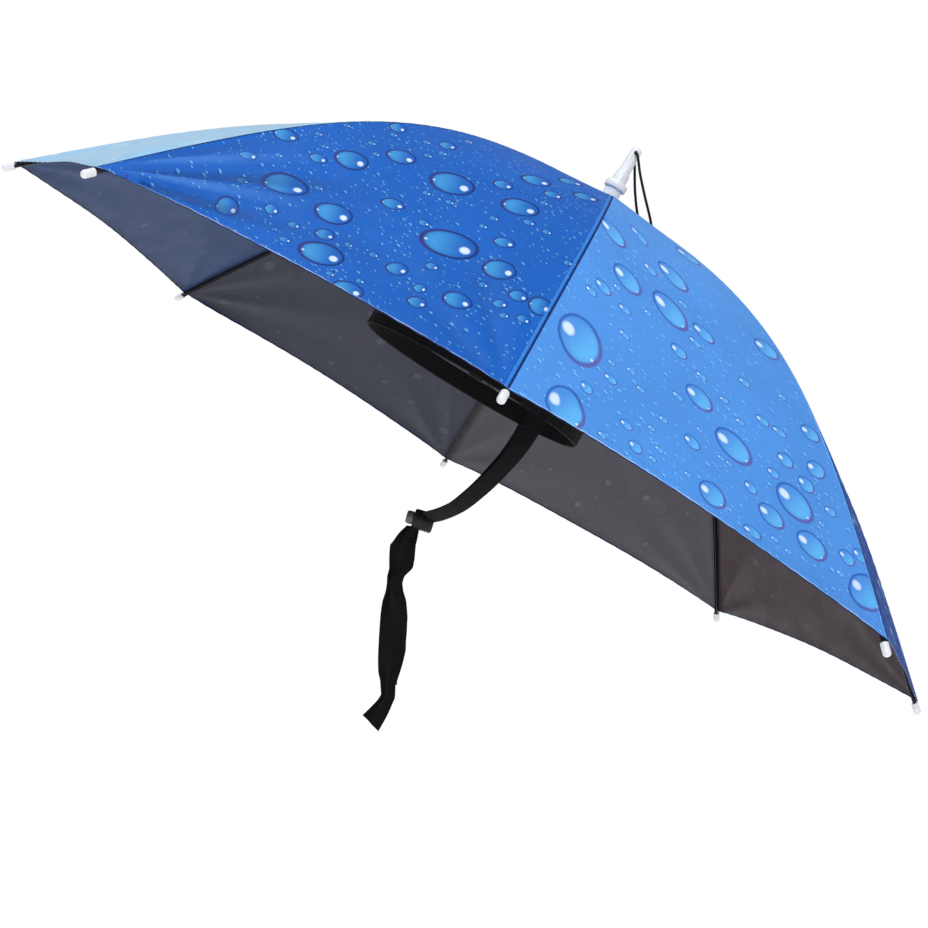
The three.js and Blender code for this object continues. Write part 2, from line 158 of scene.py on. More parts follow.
class Shader:
    """A material with one Principled shader, and short calls for the nodes that feed it."""

    def __init__(self, name, **constants):
        self.material = bpy.data.materials.new(name)
        self.material.use_nodes = True
        self.tree = self.material.node_tree
        self.tree.nodes.clear()
        self.surface = self.tree.nodes.new("ShaderNodeBsdfPrincipled")
        output = self.tree.nodes.new("ShaderNodeOutputMaterial")
        self.tree.links.new(self.surface.outputs[0], output.inputs[0])
        for key, value in constants.items():
            socket = key.replace("_", " ").title().replace("Ior", "IOR")
            self.surface.inputs[socket].default_value = value

    def put(self, socket, value):
        if isinstance(value, Value):
            self.tree.links.new(value.socket, socket)
        elif socket.type == "RGBA":
            socket.default_value = (*value, 1)
        else:
            socket.default_value = value

    def make(self, kind, inputs, **settings):
        node = self.tree.nodes.new("ShaderNode" + kind)
        for key, value in settings.items():
            setattr(node, key, value)
        for key, value in inputs.items():
            self.put(node.inputs[key], value)
        return node

    def node(self, kind, inputs, output=0, **settings):
        return Value(self, self.make(kind, inputs, **settings).outputs[output])

    def mix(self, share, a, b):
        return self.node("Mix", {0: share, 6: a, 7: b}, 2, data_type="RGBA")

    def attribute(self, name):
        return self.node("Attribute", {}, "Vector", attribute_name=name)

    def object_place(self):
        return self.node("TexCoord", {}, "Object")

    def noise(self, place, scale, detail=2.0):
        return self.node("TexNoise", {"Vector": place, "Scale": scale, "Detail": detail}, "Fac")

    def colour(self, value):
        self.put(self.surface.inputs["Base Color"], value)

    def roughness(self, low, high, place, scale, detail=2.0):
        """Roughness from low to high, in spots of that scale."""
        spots = self.noise(place, scale, detail).ramp(0.3, 0.7, low, high)
        self.put(self.surface.inputs["Roughness"], spots)

    def bump(self, height, distance, strength):
        inputs = {"Height": height, "Strength": strength, "Distance": distance}
        self.put(self.surface.inputs["Normal"], self.node("Bump", inputs))


# Meshes

SHARP = math.radians(40)
SPLINE_STEPS = 24


def mesh_object(name, points, faces, shaders, matrix=None, slots=None, sharp=SHARP):
    mesh = bpy.data.meshes.new(name)
    mesh.from_pydata([tuple(p) for p in points], [], [tuple(f) for f in faces])
    if matrix is not None:
        mesh.transform(matrix)
    for shader in shaders:
        mesh.materials.append(shader.material)
    if slots is not None:
        mesh.polygons.foreach_set("material_index", np.array(slots, np.int32))
    mesh.update()
    mesh.shade_smooth()
    mesh.set_sharp_from_angle(angle=sharp)
    piece = bpy.data.objects.new(name, mesh)
    bpy.context.scene.collection.objects.link(piece)
    return piece


def keep(piece, slot, *nodes):
    """The piece rides on the hat and stands for those nodes. Its slot is not used."""
    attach(piece, "root")
    if nodes:
        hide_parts(*nodes)


def store(mesh, name, values, domain="POINT"):
    """Three numbers for each point or face corner, which a shader reads by that name."""
    layer = mesh.attributes.new(name, "FLOAT_VECTOR", domain)
    layer.data.foreach_set("vector", np.asarray(values, np.float32).ravel())


class Parts:
    """Several closed shapes in one mesh."""

    def __init__(self):
        self.points = []
        self.faces = []

    def add(self, points, faces):
        start = len(self.points)
        self.points.extend(tuple(p) for p in points)
        self.faces.extend(tuple(start + i for i in face) for face in faces)

    def loft(self, sections, ring=False):
        """A closed solid through sections of as many points each."""
        size = len(sections[0])
        spans = len(sections) if ring else len(sections) - 1
        points = [p for section in sections for p in section]
        faces = []
        for i in range(spans):
            near = i * size
            far = (i + 1) % len(sections) * size
            for j in range(size):
                after = (j + 1) % size
                faces.append((near + j, near + after, far + after, far + j))
        if not ring:
            last = (len(sections) - 1) * size
            faces.append(tuple(reversed(range(size))))
            faces.append(tuple(last + j for j in range(size)))
        self.add(points, outward(points, faces))

    def turned(self, rows, sides=40, matrix=Matrix()):
        """A solid turned about Z from rows of radius and height, which start and end on it."""
        points = []
        rings = []
        for radius, height in rows:
            start = len(points)
            if radius < 1e-7:
                points.append(matrix @ Vector((0, 0, height)))
                rings.append([start] * sides)
                continue
            for j in range(sides):
                angle = 2 * math.pi * j / sides
                place = Vector((radius * math.cos(angle), radius * math.sin(angle), height))
                points.append(matrix @ place)
            rings.append([start + j for j in range(sides)])
        faces = []
        for low, high in zip(rings, rings[1:]):
            for j in range(sides):
                after = (j + 1) % sides
                face = tuple(dict.fromkeys((low[j], low[after], high[after], high[j])))
                if len(face) > 2:
                    faces.append(face)
        self.add(points, outward(points, faces))

    def object(self, name, shader, matrix=None, sharp=SHARP):
        return mesh_object(name, self.points, self.faces, [shader], matrix, sharp=sharp)


def outward(points, faces):
    """The faces, turned over if they point into the solid."""
    volume = 0
    for face in faces:
        a = Vector(points[face[0]])
        for j, k in zip(face[1:], face[2:]):
            volume += a.dot(Vector(points[j]).cross(Vector(points[k])))
    if volume < 0:
        return [tuple(reversed(face)) for face in faces]
    return faces


def rounded(width, thickness, corner, steps=3):
    """Outline of a flat bar's section, with round corners, as (across, through) pairs."""
    outline = []
    for quarter, (a, b) in enumerate(((1, 1), (-1, 1), (-1, -1), (1, -1))):
        for i in range(steps + 1):
            angle = math.pi / 2 * (quarter + i / steps)
            outline.append((
                a * (width / 2 - corner) + corner * math.cos(angle),
                b * (thickness / 2 - corner) + corner * math.sin(angle),
            ))
    return outline


def placed(outline, centre, across, through):
    return [centre + across * a + through * b for a, b in outline]


def smooth_route(points, count):
    """Centripetal Catmull-Rom curve through the points, at even steps of its length."""
    points = [Vector(p) for p in points]
    ends = [2 * points[0] - points[1], *points, 2 * points[-1] - points[-2]]
    fine = []
    for p0, p1, p2, p3 in zip(ends, ends[1:], ends[2:], ends[3:]):
        t1 = (p1 - p0).length ** 0.5
        t2 = t1 + (p2 - p1).length ** 0.5
        t3 = t2 + (p3 - p2).length ** 0.5
        for i in range(SPLINE_STEPS):
            t = t1 + (t2 - t1) * i / SPLINE_STEPS
            a1 = p0.lerp(p1, t / t1)
            a2 = p1.lerp(p2, (t - t1) / (t2 - t1))
            a3 = p2.lerp(p3, (t - t2) / (t3 - t2))
            b1 = a1.lerp(a2, t / t2)
            b2 = a2.lerp(a3, (t - t1) / (t3 - t1))
            fine.append(b1.lerp(b2, (t - t1) / (t2 - t1)))
    fine.append(points[-1])
    line = np.array([tuple(p) for p in fine])
    reach = np.concatenate([[0], np.cumsum(np.linalg.norm(np.diff(line, axis=0), axis=1))])
    even = np.linspace(0, reach[-1], count)
    return [Vector(p) for p in np.stack([np.interp(even, reach, line[:, k]) for k in range(3)], 1)]


# Shape of a gore. Its own axes are X out along its middle and Z up the canopy's axis; its
# flat pattern has x across and y down from the middle of the canopy.

def slope_at(share):
    """How steeply a rib falls at a share of its length, in radians."""
    def bend(place):
        return np.tanh((place - BEND_PLACE) / BEND_SPREAD)
    turn = (bend(share) - bend(0)) / (bend(1) - bend(0))
    return np.radians(SLOPE_AT_HUB + (SLOPE_AT_TIP - SLOPE_AT_HUB) * turn)


SHARES = np.linspace(0, 1.1, 881)
STEP_SLOPES = slope_at((SHARES[1:] + SHARES[:-1]) / 2)
STEP = SHARES[1] * RIB_LENGTH
RIB_RADIUS = np.concatenate([[0], np.cumsum(STEP * np.cos(STEP_SLOPES))])
RIB_HEIGHT = np.concatenate([[0], -np.cumsum(STEP * np.sin(STEP_SLOPES))])
MIDDLE = RIB_RADIUS * math.cos(HALF_PANEL)
DOWN = np.concatenate([[0], np.cumsum(np.hypot(np.diff(MIDDLE), np.diff(RIB_HEIGHT)))])
CLOTH_START = CLOTH_HOLE / RIB_LENGTH
CLOTH_END = 1 - CAP_LENGTH / RIB_LENGTH
GORE_LENGTH = float(np.interp(CLOTH_END, SHARES, DOWN))
GORE_HALF_WIDTH = float(np.interp(CLOTH_END, SHARES, MIDDLE)) * math.tan(HALF_PANEL)


def rib_point(share, depth):
    """Point on a rib's middle plane, below the cloth's outside, in the rib's own axes."""
    radius = float(np.interp(share, SHARES, RIB_RADIUS))
    height = float(np.interp(share, SHARES, RIB_HEIGHT))
    slope = float(slope_at(share))
    return Vector((radius - depth * math.sin(slope), 0, height - depth * math.cos(slope)))


def rib_matrix(number):
    turn = -math.pi / 2 + 2 * HALF_PANEL * (number - 1)
    return CANOPY @ Matrix.Rotation(turn, 4, "Z")


def gore_matrix(number):
    """The middle of a gore lies halfway between its two ribs."""
    return rib_matrix(number + 0.5)


# Printed drops, charted from the two gores that face the camera: each drop's centre
# in picture pixels, half its length and half its width, and the turn of its length from the
# picture's right, clockwise in degrees. The glint lies at the end that the turn points to.

Drop = namedtuple("Drop", "x y long short turn")
LEFT_TURN = 14
LEFT_DROPS = [Drop(*row, LEFT_TURN) for row in (
    (285, 184, 25.5, 12), (351, 161, 18.5, 9.5), (401, 157, 16.5, 7.5), (333, 214, 21, 10),
    (321, 253, 25, 13), (449, 243.5, 32, 14), (452, 183, 24.5, 10.5), (520, 207, 21, 8.5),
    (499, 270, 18.5, 10), (457, 301, 16.5, 9), (347, 291, 18, 9), (286, 134, 14, 6),
    (540, 306, 13, 9.5), (536, 181, 16.5, 5), (586, 197, 14, 3.5), (571, 182, 13.5, 3),
    (227, 205, 13, 8),
    (325, 233, 11, 5.5), (318, 160, 10, 5), (248, 157, 10.5, 5.5), (393, 203.5, 13.5, 6),
    (397, 267.5, 12.5, 6.5), (398, 127, 9.5, 4.5), (417, 301, 11, 6), (504, 243, 12, 5.5),
    (503, 185, 11, 4.5), (553, 195, 10.5, 3.5), (448, 145, 9.5, 4.2), (518, 297, 10.7, 6),
    (500, 304, 8.3, 4.5), (523, 320, 7.8, 4.5), (420, 287.5, 7.5, 4.5), (432, 266.5, 7.5, 4.2),
    (271.5, 209.5, 8, 4.5), (294, 223.5, 7, 3.5), (285, 239, 7, 3.5), (243, 178, 7.5, 3.5),
    (235, 187, 5.5, 3), (529, 222.5, 7, 3.2), (424, 223, 6.5, 3.5),
    (278.5, 157, 5, 2.6), (325, 147, 5, 2.4), (319, 133, 5, 2.2), (372, 143, 5, 2.4),
    (376, 155, 4.5, 2.4), (394, 134, 4.5, 2.2), (330, 275, 5.5, 3), (360, 281.5, 5, 3),
    (374, 253, 5.5, 3), (349, 243, 5, 2.8), (319, 186.5, 5.5, 2.8), (347, 125, 4.5, 2),
    (494, 218, 5.5, 2.6), (483.5, 226, 5, 2.6), (469, 141, 5, 2.2), (427, 141.5, 4.5, 2.2),
    (428, 155.5, 5, 2.4), (443, 153, 5, 2.4), (450, 201, 5.5, 2.6), (427, 192, 5, 2.6),
    (544, 203, 5, 2.2), (547, 232, 5.5, 2.8), (483.5, 284, 5.5, 3), (504, 316, 5.5, 3.2),
    (568, 263, 5.5, 3),
)]
RIGHT_DROPS = [Drop(x, y, long, short, turn + 180) for x, y, long, short, turn in (
    (580.7, 339.8, 31, 19, 56), (613.4, 232.7, 20.2, 6, 51), (627.7, 279.4, 20.9, 8.3, 50),
    (673.9, 276.3, 22.1, 5.8, 46), (671, 310.4, 26.6, 9.3, 50), (566, 408, 26, 18, 56),
    (734.2, 446.2, 25.8, 10.8, 46), (795.3, 502.7, 26.4, 11.8, 50), (866.5, 592.9, 23, 15, 50),
    (812.2, 545.7, 20.5, 9.8, 48), (772, 515.7, 18, 8.6, 46), (699.2, 398.1, 19, 8, 46),
    (712.4, 494.9, 18.3, 9.7, 47), (766.3, 349.4, 16.5, 6, 40), (704.1, 333.2, 15.4, 4.8, 45),
    (639.8, 235.6, 14.3, 2.5, 50), (688.6, 256.3, 16, 2.9, 36), (810.4, 433.5, 13, 5.7, 42),
    (603.4, 287.2, 12, 4.4, 50), (679.2, 351.3, 11.4, 4.8, 47), (650.9, 268.9, 10, 3.2, 49),
    (816.1, 469.8, 12, 7, 46), (806.7, 484.3, 11.3, 5.7, 48), (785.9, 460, 11, 5.5, 44),
    (846.9, 557.8, 11, 5.3, 49), (859.2, 556.5, 10, 4.5, 49), (752.7, 532, 12, 4.5, 40),
    (692, 442.4, 11.3, 5.2, 46), (635.2, 447.2, 9.3, 5.2, 50), (751.6, 487.3, 9.2, 4.5, 48),
    (762.9, 420.4, 9.4, 3.7, 42), (779.8, 431.6, 10, 2.9, 40), (591.2, 290.9, 8.1, 3.2, 50),
    (624.9, 309.3, 8.7, 3.2, 44), (624.9, 334.3, 8.1, 2.5, 46), (695.8, 342.1, 9.4, 2.5, 45),
    (610.7, 378.9, 8.7, 3.8, 46), (586.6, 387.9, 8.4, 4.6, 50), (626.8, 424.5, 8.5, 3.8, 46),
    (773.7, 472.9, 8.2, 3.7, 44), (830.4, 511.6, 7.8, 3.5, 46), (744.7, 382.4, 8, 2.9, 42),
    (677.7, 396.7, 8, 2.5, 44), (701.5, 376.3, 8, 2.6, 44), (683.8, 303.9, 7.1, 1.8, 44),
    (601.9, 435.2, 5.7, 3.4, 48), (659, 449.8, 6.5, 2.3, 44), (631.2, 370.9, 6.5, 2.2, 44),
    (640.4, 389.8, 6, 2.4, 44), (663.3, 419.7, 6, 2.8, 44), (651.8, 428.3, 5, 2.4, 44),
    (700, 430, 5, 2, 44), (740.4, 421.8, 6, 2.6, 42), (725.3, 400.2, 5, 2.2, 44),
    (721.3, 457.6, 5, 2.2, 44), (729.9, 463.3, 5, 2.2, 44), (612.2, 362.3, 5, 2.2, 46),
    (648.4, 312.5, 5, 2.5, 46), (617.4, 287.2, 5, 2.8, 48), (724, 400, 6, 2.5, 42),
    (822, 523.9, 5, 2.4, 46), (840.4, 573.9, 5.5, 2.4, 46), (775.1, 539.2, 5.5, 2.2, 40),
    (782.2, 397.3, 5, 2.2, 42), (652.4, 459.3, 5, 2.6, 46), (687.4, 474.8, 5, 2.4, 44),
    (882.2, 618.8, 5, 2.6, 50), (788.4, 551.4, 5, 2.2, 40),
)]
LAYERS = {"drops_large": 12.6, "drops_middle": 7.0, "drops_small": 0.0}


def flat_place(x, y, number):
    """Where the line of sight through a picture pixel meets a gore, on its flat pattern."""
    into = gore_matrix(number).inverted()
    start = into @ CAMERA_PLACE
    sight = FORWARD * FOCAL + RIGHT * (x - PICTURE / 2) - UP * (y - PICTURE / 2)
    sight = into.to_3x3() @ sight.normalized()
    out = MIDDLE - start.x
    rise = RIB_HEIGHT - start.z
    side = out * sight.z - rise * sight.x
    crossings = np.nonzero(side[:-1] * side[1:] <= 0)[0]
    if len(crossings) == 0:
        return None
    found = []
    for k in crossings:
        part = side[k] / (side[k] - side[k + 1])
        ahead = (out[k] + part * (out[k + 1] - out[k])) * sight.x
        ahead += (rise[k] + part * (rise[k + 1] - rise[k])) * sight.z
        distance = ahead / (sight.x ** 2 + sight.z ** 2)
        found.append((distance, DOWN[k] + part * (DOWN[k + 1] - DOWN[k])))
    distance, down = min(found)
    return np.array([start.y + distance * sight.y, down])


def chart(drops, number, side):
    """Each drop on the flat pattern: its centre, and the map from the pattern to its own
    round form. Side is that of the length on which the glint lies."""
    charted = {layer: [] for layer in LAYERS}
    for drop in drops:
        angle = math.radians(drop.turn)
        ways = ((math.cos(angle), math.sin(angle)), (-side * math.sin(angle), side * math.cos(angle)))
        centre = flat_place(drop.x, drop.y, number)
        if centre is None:
            continue
        columns = []
        for way, reach in zip(ways, (drop.long, drop.short)):
            for sign in (1, -1):
                near = flat_place(drop.x + sign * way[0], drop.y + sign * way[1], number)
                if near is not None:
                    columns.append((near - centre) * sign * reach)
                    break
        if len(columns) < 2:
            continue
        matrix = np.array(columns).T
        layer = next(name for name, least in LAYERS.items() if drop.long >= least)
        charted[layer].append((centre, np.linalg.inv(matrix)))
    return charted


def mirrored(charted):
    """The same chart with left and right of the gore changed over."""
    flip = np.array([-1, 1])
    return {
        layer: [(centre * flip, inverse * flip) for centre, inverse in drops]
        for layer, drops in charted.items()
    }


LEFT_CHART = chart(LEFT_DROPS, 2, 1)
RIGHT_CHART = chart(RIGHT_DROPS, 3, -1)
CHARTS = {
    1: mirrored(RIGHT_CHART), 2: LEFT_CHART, 3: RIGHT_CHART, 4: mirrored(LEFT_CHART),
    5: RIGHT_CHART, 6: LEFT_CHART, 7: mirrored(RIGHT_CHART), 8: mirrored(LEFT_CHART),
}


# Cloth

# Alternate gores are lighter and darker as painted sheen: the same cloth, lit differently
LIGHT_GORES = (1, 3, 5, 7)
DARK_GORES = (2, 4, 6, 8)
# Each gore's blue, with that painted sheen; gore 1 is paler still as a painted reflection at a grazing
# angle, and gore 4 darker as painted shade
BLUE = {
    1: (0.12, 0.50, 0.96), 2: (0.001, 0.088, 0.41), 3: (0.064, 0.245, 0.66), 4: (0.001, 0.044, 0.28),
    5: (0.045, 0.19, 0.60), 6: (0.004, 0.095, 0.43), 7: (0.050, 0.20, 0.62), 8: (0.004, 0.095, 0.43),
}
RING_COOL = {LIGHT_GORES: (0.020, 0.085, 0.38), DARK_GORES: (0.000, 0.008, 0.105)}
RING_WARM = {LIGHT_GORES: (0.085, 0.080, 0.34), DARK_GORES: (0.016, 0.012, 0.14)}
# Gore 1's print rings fade halfway into its blue, washed out by its painted reflection
RING_FADED = {1: 0.5}
PLAIN_RING_FADED = 0.05
GLINT = (0.80, 0.92, 1.0)
SEAM_SHADE_NAVY = (0.001, 0.014, 0.11)
HEM_LIGHT = (0.55, 0.68, 0.92)
HEM_DARK = (0.004, 0.010, 0.050)
GLOSS = {4: 0.03}
PLAIN_GLOSS = 0.12
SHEEN = {1: 1.0}
SHEEN_TINT = (0.90, 1.0, 1.0, 1.0)
PLAIN_SHEEN = 0.02

# Coating on the inside, the same on a gore and its mirror image. The blue of gores 1 and 8 is painted
# light that shines through the cloth
COATINGS = {
    1: (0.035, 0.057, 0.130), 2: (0.044, 0.046, 0.063), 3: (0.078, 0.073, 0.089), 4: (0.051, 0.036, 0.044),
}

# A drop's glint and spark, as shares of its half length and half width
GLINT_REACH = {LIGHT_GORES: (0.33, 0.32), DARK_GORES: (0.22, 0.31)}
GLINT_ALONG = 0.53
GLINT_ACROSS = 0.18
SPARK_ALONG = -0.74
SPARK_ACROSS = 0.05

# Specks are the smallest drops: one may lie in each cell, if its chance is over the least,
# and its radius is at most that share of the cell.
Speck = namedtuple("Speck", "cell least most")
SPECKS = (Speck(0.0085, 0.64, 0.22), Speck(0.0050, 0.72, 0.26))

# Distances from a seam or the hem at which a darker band begins and is full; along the outside's seams it
# is painted shade
LEFT_SEAM = (0.0010, 0.0005)
RIGHT_SEAM = (0.0007, 0.0003)
OUTER_HEM = (0.0006, 0.0003)
INNER_HEM = (0.0021, 0.0013)
SEAM_ALLOWANCE = (0.0062, 0.0052)
HEM_ALLOWANCE = (0.0070, 0.0062)

# Lines along a seam or the hem: the distance of their middle from it, and their half width
Line = namedtuple("Line", "place half_width")
SEAM_HIGHLIGHT_STRIP = Line(0.0018, 0.0009)
SEAM_STITCHES = Line(0.0031, 0.0003)
HEM_STITCHES = Line(0.0056, 0.0003)
HEM_LINE = Line(0.0010, 0.00025)
STITCH_PITCH = 0.0034
WEAVE_PITCH = 0.0007


def of_gore(choices, number):
    """What a table that is keyed by sets of gores holds for that gore."""
    return next(value for gores, value in choices.items() if number in gores)


def scaled(colour, factor):
    return tuple(min(1.0, c * factor) for c in colour)


def lifted(colour, *amounts):
    return tuple(min(1.0, c + amount) for c, amount in zip(colour, amounts))


def blended(colour, other, share):
    return tuple(a + (b - a) * share for a, b in zip(colour, other))


def ring_wobble(shader, flat):
    return (shader.noise(flat, 45) - 0.5) * 0.04


def drop_masks(shader, layer, wobble, number):
    """Inside, ring, glint and spark of the drops of one layer, with the place along each
    drop and the distance from its middle."""
    long, short = of_gore(GLINT_REACH, number)
    along, across, _ = shader.attribute(layer)
    away = length(along, across) + wobble
    inside = away.ramp(1.0, 0.95)
    ring = inside * (away - along.ramp(0.9, -0.9, 0.87, 0.80)).ramp(-0.07, 0.05)
    glint = length((along - GLINT_ALONG) / long, (across - GLINT_ACROSS) / short).ramp(1.0, 0.5)
    spark = length(along - SPARK_ALONG, across - SPARK_ACROSS).ramp(0.08, 0.03)
    return inside, ring, glint, spark, along, away


def with_specks(shader, flat, colour, ground):
    """The colour with the print's specks on it, each dark above and light below."""
    crowd = shader.noise(flat, 24, 1).ramp(0.40, 0.62) * 0.22
    for speck in SPECKS:
        cells = shader.make("TexVoronoi", {"Vector": flat, "Scale": 1 / speck.cell},
                            voronoi_dimensions="2D")
        chance, size, _ = Value(shader, cells.outputs["Color"])
        shown = (chance + crowd).ramp(speck.least, speck.least + 0.01)
        middle = Value(shader, cells.outputs["Position"])
        x, y, _ = shader.node("VectorMath", {0: flat, 1: middle}, operation="SUBTRACT")
        radius = size.ramp(0.0, 1.0, 0.10, speck.most) * speck.cell
        disc = shown * (length(x, y) / radius).ramp(1.0, 0.8)
        up = (y - x * 0.4) / radius
        colour = shader.mix(disc * up.ramp(0.0, 0.7) * 0.5, colour, ground["ring"])
        colour = shader.mix(disc * up.ramp(0.1, -0.5) * 0.75, colour, ground["speck"])
    return colour


def print_colour(shader, flat, ground, number):
    """The printed side: ground colour, specks, and small, middle and large drops."""
    wobble = ring_wobble(shader, flat)
    shade = shader.noise(flat, 9, 3).ramp(0.25, 0.75)
    colour = with_specks(shader, flat, shader.mix(shade, ground["dark"], ground["light"]), ground)
    for layer in reversed(LAYERS):
        inside, ring, glint, spark, along, away = drop_masks(shader, layer, wobble, number)
        fill = shader.mix(along.ramp(0.7, -0.7), ground["fill_dark"], ground["fill_light"])
        fill = shader.mix(away.ramp(0.5, 0.9, 0.0, 0.5), fill, ground["fill_dark"])
        colour = shader.mix(inside, colour, fill)
        edge = shader.mix(along.ramp(0.3, -0.9), ground["ring"], ground["ring_warm"])
        colour = shader.mix(ring * 0.92, colour, edge)
        colour = shader.mix(glint.or_more(spark), colour, ground["glint"])
    return colour


def weave(flat):
    x, y, _ = flat
    return x.wave(WEAVE_PITCH).or_more(y.wave(WEAVE_PITCH))


def line_at(distance, line):
    """1 on the line, 0 off it, from the distance to the seam or hem that it follows."""
    off = (distance - line.place).apply("ABSOLUTE")
    return off.ramp(line.half_width * 1.25, line.half_width * 0.75)


def stitches(along, distance, line):
    return along.wave(STITCH_PITCH).ramp(0.2, 0.4) * line_at(distance, line)


def outside_shader(number):
    """The printed side of a gore, with its stitches and hem, and painted shade and highlight along its
    seams and hem and on its folds.
    """
    shader = Shader(f"cloth_outside_{number}", sheen_weight=SHEEN.get(number, PLAIN_SHEEN),
                    sheen_roughness=0.4, sheen_tint=SHEEN_TINT,
                    specular_ior_level=GLOSS.get(number, PLAIN_GLOSS))
    blue = BLUE[number]
    faded = RING_FADED.get(number, PLAIN_RING_FADED)
    ground = {
        "dark": scaled(blue, 0.92), "light": scaled(blue, 1.08),
        "speck": lifted(blue, 0.14, 0.30, 0.22), "fill_dark": scaled(blue, 0.98),
        "fill_light": lifted(blue, 0.035, 0.16, 0.13), "glint": blended(GLINT, blue, 0.33),
        "ring": blended(of_gore(RING_COOL, number), blue, faded),
        "ring_warm": blended(of_gore(RING_WARM, number), blue, faded),
    }
    flat = shader.attribute("flat")
    x, y, _ = flat
    left, right, hem = shader.attribute("edges")
    fold, _, _ = shader.attribute("fold")
    # Painted shade along both seams, where the cloth turns down into the gap
    seam = left.ramp(*LEFT_SEAM, 0.0, 0.95).or_more(right.ramp(*RIGHT_SEAM, 0.0, 0.95))
    colour = shader.mix(seam, print_colour(shader, flat, ground, number), SEAM_SHADE_NAVY)
    # Painted shade in the wrinkles' valleys and painted highlight on their ridges
    colour = shader.mix(fold.ramp(-0.1, -0.8, 0.0, 0.55), colour, scaled(blue, 0.35))
    colour = shader.mix(fold.ramp(0.2, 0.9, 0.0, 0.28), colour, lifted(blue, 0.10, 0.20, 0.30))
    # A lighter strip beside the right seam: painted highlight on the raised, doubled seam allowance
    colour = shader.mix(line_at(right, SEAM_HIGHLIGHT_STRIP) * 0.65, colour, lifted(blue, 0.03, 0.12, 0.20))
    thread = stitches(y, right, SEAM_STITCHES).or_more(stitches(x, hem, HEM_STITCHES))
    colour = shader.mix(thread * 0.4, colour, scaled(blue, 0.4))
    # A pale line along the hem, partly the hem's own edge and partly painted highlight where its fold
    # catches the light, broken into patches
    hem_line_and_highlight = shader.noise(flat, 55).ramp(0.40, 0.60, 0.12, 0.75)
    colour = shader.mix(line_at(hem, HEM_LINE) * hem_line_and_highlight, colour, HEM_LIGHT)
    shader.colour(shader.mix(hem.ramp(*OUTER_HEM), colour, HEM_DARK))
    shader.roughness(0.50, 0.60, flat, 60)
    shader.bump(weave(flat) * 0.3 - thread, 0.0002, 0.35)
    return shader


def inside_shader(number):
    """The coated side of a gore, through which the print shows faintly."""
    shader = Shader(f"cloth_inside_{number}", sheen_weight=0.02, specular_ior_level=0.10)
    coating = COATINGS[min(number, PANELS + 1 - number)]
    flat = shader.attribute("flat")
    left, right, hem = shader.attribute("edges")
    fold, _, _ = shader.attribute("fold")
    wobble = ring_wobble(shader, flat)
    colour = shader.mix(shader.noise(flat, 7, 3), scaled(coating, 0.88), scaled(coating, 1.12))
    for layer in LAYERS:
        _, ring, glint, _, _, _ = drop_masks(shader, layer, wobble, number)
        colour = shader.mix(ring * 0.28, colour, scaled(coating, 0.60))
        colour = shader.mix(glint * 0.30, colour, scaled(coating, 2.6))
    # Painted shade and painted highlight on the wrinkles, the other way round from the outside
    colour = shader.mix(fold.ramp(0.1, 0.8, 0.0, 0.4), colour, scaled(coating, 0.5))
    colour = shader.mix(fold.ramp(-0.1, -0.8, 0.0, 0.4), colour, scaled(coating, 1.8))
    near_seam = left.ramp(*SEAM_ALLOWANCE).or_more(right.ramp(*SEAM_ALLOWANCE))
    allowance = near_seam.or_more(hem.ramp(*HEM_ALLOWANCE))
    colour = shader.mix(allowance * 0.35, colour, scaled(coating, 0.6))
    shader.colour(shader.mix(hem.ramp(*INNER_HEM), colour, HEM_DARK))
    shader.roughness(0.42, 0.55, flat, 50)
    shader.bump(weave(flat), 0.0002, 0.3)
    return shader


def hem_shader():
    shader = Shader("hem_edge", specular_ior_level=0.2)
    place = shader.object_place()
    shader.colour(shader.mix(shader.noise(place, 400), scaled(HEM_DARK, 0.7), scaled(HEM_DARK, 2.5)))
    shader.roughness(0.6, 0.8, place, 300)
    return shader


HEM_EDGE = hem_shader()

# Wrinkles fan out from the two tips of each gore: broad ones and, starting farther from the
# tip, fine ones. The phase puts the deepest one of gore 2 where it shows.
BROAD_HEIGHT = 0.0012
BROAD_PER_ANGLE = 10.5
BROAD_PEAK = 0.040
FINE_HEIGHT = 0.0003
FINE_PER_ANGLE = 23
FINE_START = 0.012
FINE_PEAK = 0.016
WRINKLE_PHASE = 4.08
WRINKLE_FADE = 0.006

# How strongly each gore's cloth is pulled into wrinkles at its left and its right tip
CORNER_PULL = {
    1: (0.6, 0.7), 2: (2.2, 0.9), 3: (0.5, 0.4), 4: (0.5, 0.7),
    5: (0.6, 1.0), 6: (0.9, 0.8), 7: (1.2, 1.3), 8: (0.8, 0.6),
}

# Slow swells of the whole gore, puckers along its seams and waves along its hem
SWELL_HEIGHT = 0.0004
PUCKER_HEIGHT = 0.00028
PUCKER_PITCH = 0.0105
PUCKER_REACH = 0.006
HEM_WAVE_HEIGHT = 0.0002
HEM_WAVE_PITCH = 0.014
HEM_WAVE_REACH = 0.008

# The cloth is doubled along the right seam and the hem: how much higher it is there, and the
# width of each fold with that of the slope at its end
DOUBLED = 0.0002
SEAM_FOLD = (0.0042, 0.0006)
HEM_FOLD = (0.0064, 0.0008)
SEAM_EASE = 0.0015


def fold_step(distance, fold):
    """1 near the edge, 0 past the fold's width, with a slope of its ease between them."""
    width, ease = fold
    return np.clip((width - distance) / ease, 0, 1)


